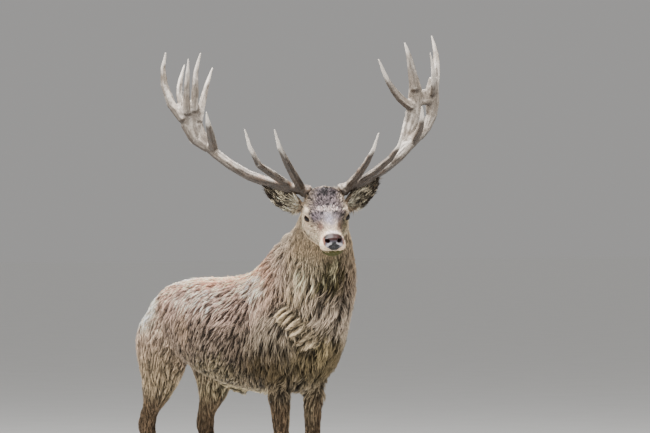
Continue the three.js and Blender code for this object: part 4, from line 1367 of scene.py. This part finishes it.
# %% [markdown]
# ## Dividing the coat
# A piece of the coat stays under 200,000 triangles, so the skin's faces are shared out among
# neck and chest, flanks, rump, legs and head, left and right. Each piece grows on its own
# unwrapped map of the skin.

# %% Growing every piece
face_middles = read(skin_mesh.polygons, "center")
part = parts_of_body(face_middles)
stag = to_stag(face_middles)
left = stag[:, 0] > 0
on_head = part["head"] > 0.5
is_curly = on_head & ((part["ear"] > 0.5) | (on_crown(to_head(face_middles)) > 0.5))
is_leg = (part["legs"] > 0.5) & ~on_head
is_mane = (part["mane"] > 0.5) & ~on_head & ~is_leg
is_trunk = ~on_head & ~is_leg & ~is_mane
is_curl = is_mane & (from_curls(stag) < 0.034)
is_mane = is_mane & ~is_curl
behind = stag[:, 1] > 0.26
low = stag[:, 2] < 1.00
LONG, MIDDLING, SHORT = (0, 0.28, 0.62, 1), (0, 0.42, 1), (0, 1)  # where a tuft has rings
CURLED = (0, 0.12, 0.26, 0.40, 0.55, 0.70, 0.85, 1)
PIECES = {
    "coat_face": (on_head & ~is_curly, "face_coat", SHORT),
    "coat_crown_and_ears": (is_curly, "ear_coat", MIDDLING),
    "coat_neck_left": (is_mane & left & ~low, "mane_coat", LONG),
    "coat_neck_right": (is_mane & ~left & ~low, "mane_coat", LONG),
    "coat_chest_left": (is_mane & left & low, "mane_coat", LONG),
    "coat_chest_right": (is_mane & ~left & low, "mane_coat", LONG),
    "coat_curls": (is_curl, "mane_coat", CURLED),
    "coat_flank_left": (is_trunk & left & ~behind, "body_coat", MIDDLING),
    "coat_flank_right": (is_trunk & ~left & ~behind, "body_coat", MIDDLING),
    "coat_rump_left": (is_trunk & left & behind, "rump_coat", MIDDLING),
    "coat_rump_right": (is_trunk & ~left & behind, "rump_coat", MIDDLING),
    "coat_legs": (is_leg, "leg_coat", MIDDLING),
}
fur = Shader("wet_fur")
strands = fur.noise(fur.place((2600, 260, 1), uv="OFBake"), 1, 2)
# Painted shade and light: a tuft is darker towards its root, where the hairs shade each other, and
# lighter towards its tip; the strands add random streaks.
light = (fur.attribute("along").between(0.0, 0.8) * 1.05 + 0.20) * (strands * 0.9 + 0.55)
colour = fur.shaded(fur.attribute("markings", "Color"), light)
relief = fur.bump(strands, 0.0010, 0.5)
wet_fur = fur.surface(Base_Color=colour, Roughness=0.55, Normal=relief, Specular_IOR_Level=0.15)

coat_triangles = 0
for name, (chosen, slot_name, steps) in PIECES.items():
    mesh = grown(name, *unwrapped(skin_mesh, np.flatnonzero(chosen), name + "_map"), steps)
    mesh.materials.append(wet_fur)
    piece = add_object(name, mesh)
    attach(piece, "root")
    coat_triangles += len(mesh.polygons)
    print(f"{name}: {len(mesh.polygons)} triangles")
print("the whole coat:", coat_triangles, "triangles")

# %% [markdown]
# ## The skin's finish
# The skin carries the same markings as the coat, so that no bald patch shows between two tufts.
# Where the fur is short and flat, on the face and the feet, its own fine bump is the fur. The
# bare nose is pebbled instead, and its wetness makes it glossy.

# %% Skin material
hide = Shader("skin_and_short_fur")
marked = hide.attribute("markings", "Color")
bare = hide.attribute("bare")
hairs = hide.noise(hide.place((620, 620, 120)), 1, 2, 0.6)
soft = hide.noise(hide.place(), 60, 3)
pebbled = {"Vector": hide.place(), "Scale": 420}
pebbles = hide.node("ShaderNodeTexVoronoi", {"feature": "F1"}, pebbled, "Distance")
furry = hide.shaded(marked, (hairs * 0.5 + soft * 0.5) * 0.9 + 0.55)
colour = hide.mix(1 - bare, marked, furry)
fur_relief = hide.bump(hairs * (1 - bare), 0.0016, 0.7)
relief = hide.bump(pebbles * bare, 0.0007, 0.6, Normal=fur_relief)
roughness = 0.72 - bare * 0.44
skin.data.materials.append(
    hide.surface(Base_Color=colour, Roughness=roughness, Normal=relief, Specular_IOR_Level=0.2)
)

# %% [markdown]
# ## Floor, light and camera
# A pale floor under soft light from above and a little behind, which rims the antlers and the
# back as an overcast sky does. The camera stands eighteen metres off with a long lens.

# %% Stage
SKY, SKY_STRENGTH = (0.92, 0.905, 0.89), 0.38
FLOOR_GLOW = 0.36 * SKY_STRENGTH
floor_shape = bmesh.new()
bmesh.ops.create_grid(floor_shape, x_segments=1, y_segments=1, size=90)
floor = add_object("floor", floor_shape)
pale = Shader("pale_floor")
speckle = pale.noise(pale.place(), 3, 2)
tone = pale.mix(speckle, paint(206, 206, 203), paint(214, 214, 212))
floor.data.materials.append(
    pale.surface(Base_Color=tone, Roughness=0.9, Emission_Color=SKY, Emission_Strength=FLOOR_GLOW)
)

world = bpy.data.worlds.new("soft_sky")
bpy.context.scene.world = world
world.use_nodes = True
sky = world.node_tree.nodes["Background"]
sky.inputs["Color"].default_value = (*SKY, 1)
sky.inputs["Strength"].default_value = SKY_STRENGTH


def lamp(name, at, aim, size, power, colour=(1, 1, 1)):
    """A square soft light at a place, turned towards a point."""
    light = bpy.data.lights.new(name, "AREA")
    light.size, light.energy, light.color = size, power, colour
    shown = add_object(name, light)
    shown.location = at
    shown.rotation_euler = (Vector(aim) - Vector(at)).to_track_quat("-Z", "Y").to_euler()


lamp("sky_light", (-1.6, 0.6, 6.5), (0, 0, 1.0), 5.0, 1500)
lamp("front_light", (-7.0, -6.0, 4.0), (0, 0, 1.1), 4.0, 300, (1, 0.98, 0.94))
lamp("fill_light", (3.5, -9.0, 3.5), (0, 0, 1.1), 4.0, 170)
lamp("rim_light", (4.0, 3.0, 5.0), (0, -0.3, 1.2), 3.0, 300)

# %% Camera
CAMERA_AT = Vector((-11.102, -14.170, 1.338))  # in the stag's frame
LOOKS_ALONG = Vector((0.6293, 0.7771, 0.0))
camera_data = bpy.data.cameras.new("camera")
camera_data.sensor_width = 36
camera_data.lens = 240.3
camera_data.clip_end = 400
camera = add_object("camera", camera_data)
camera.location = CAMERA_AT + Vector(stag_at)
camera.rotation_euler = LOOKS_ALONG.to_track_quat("-Z", "Y").to_euler()
bpy.context.scene.camera = camera
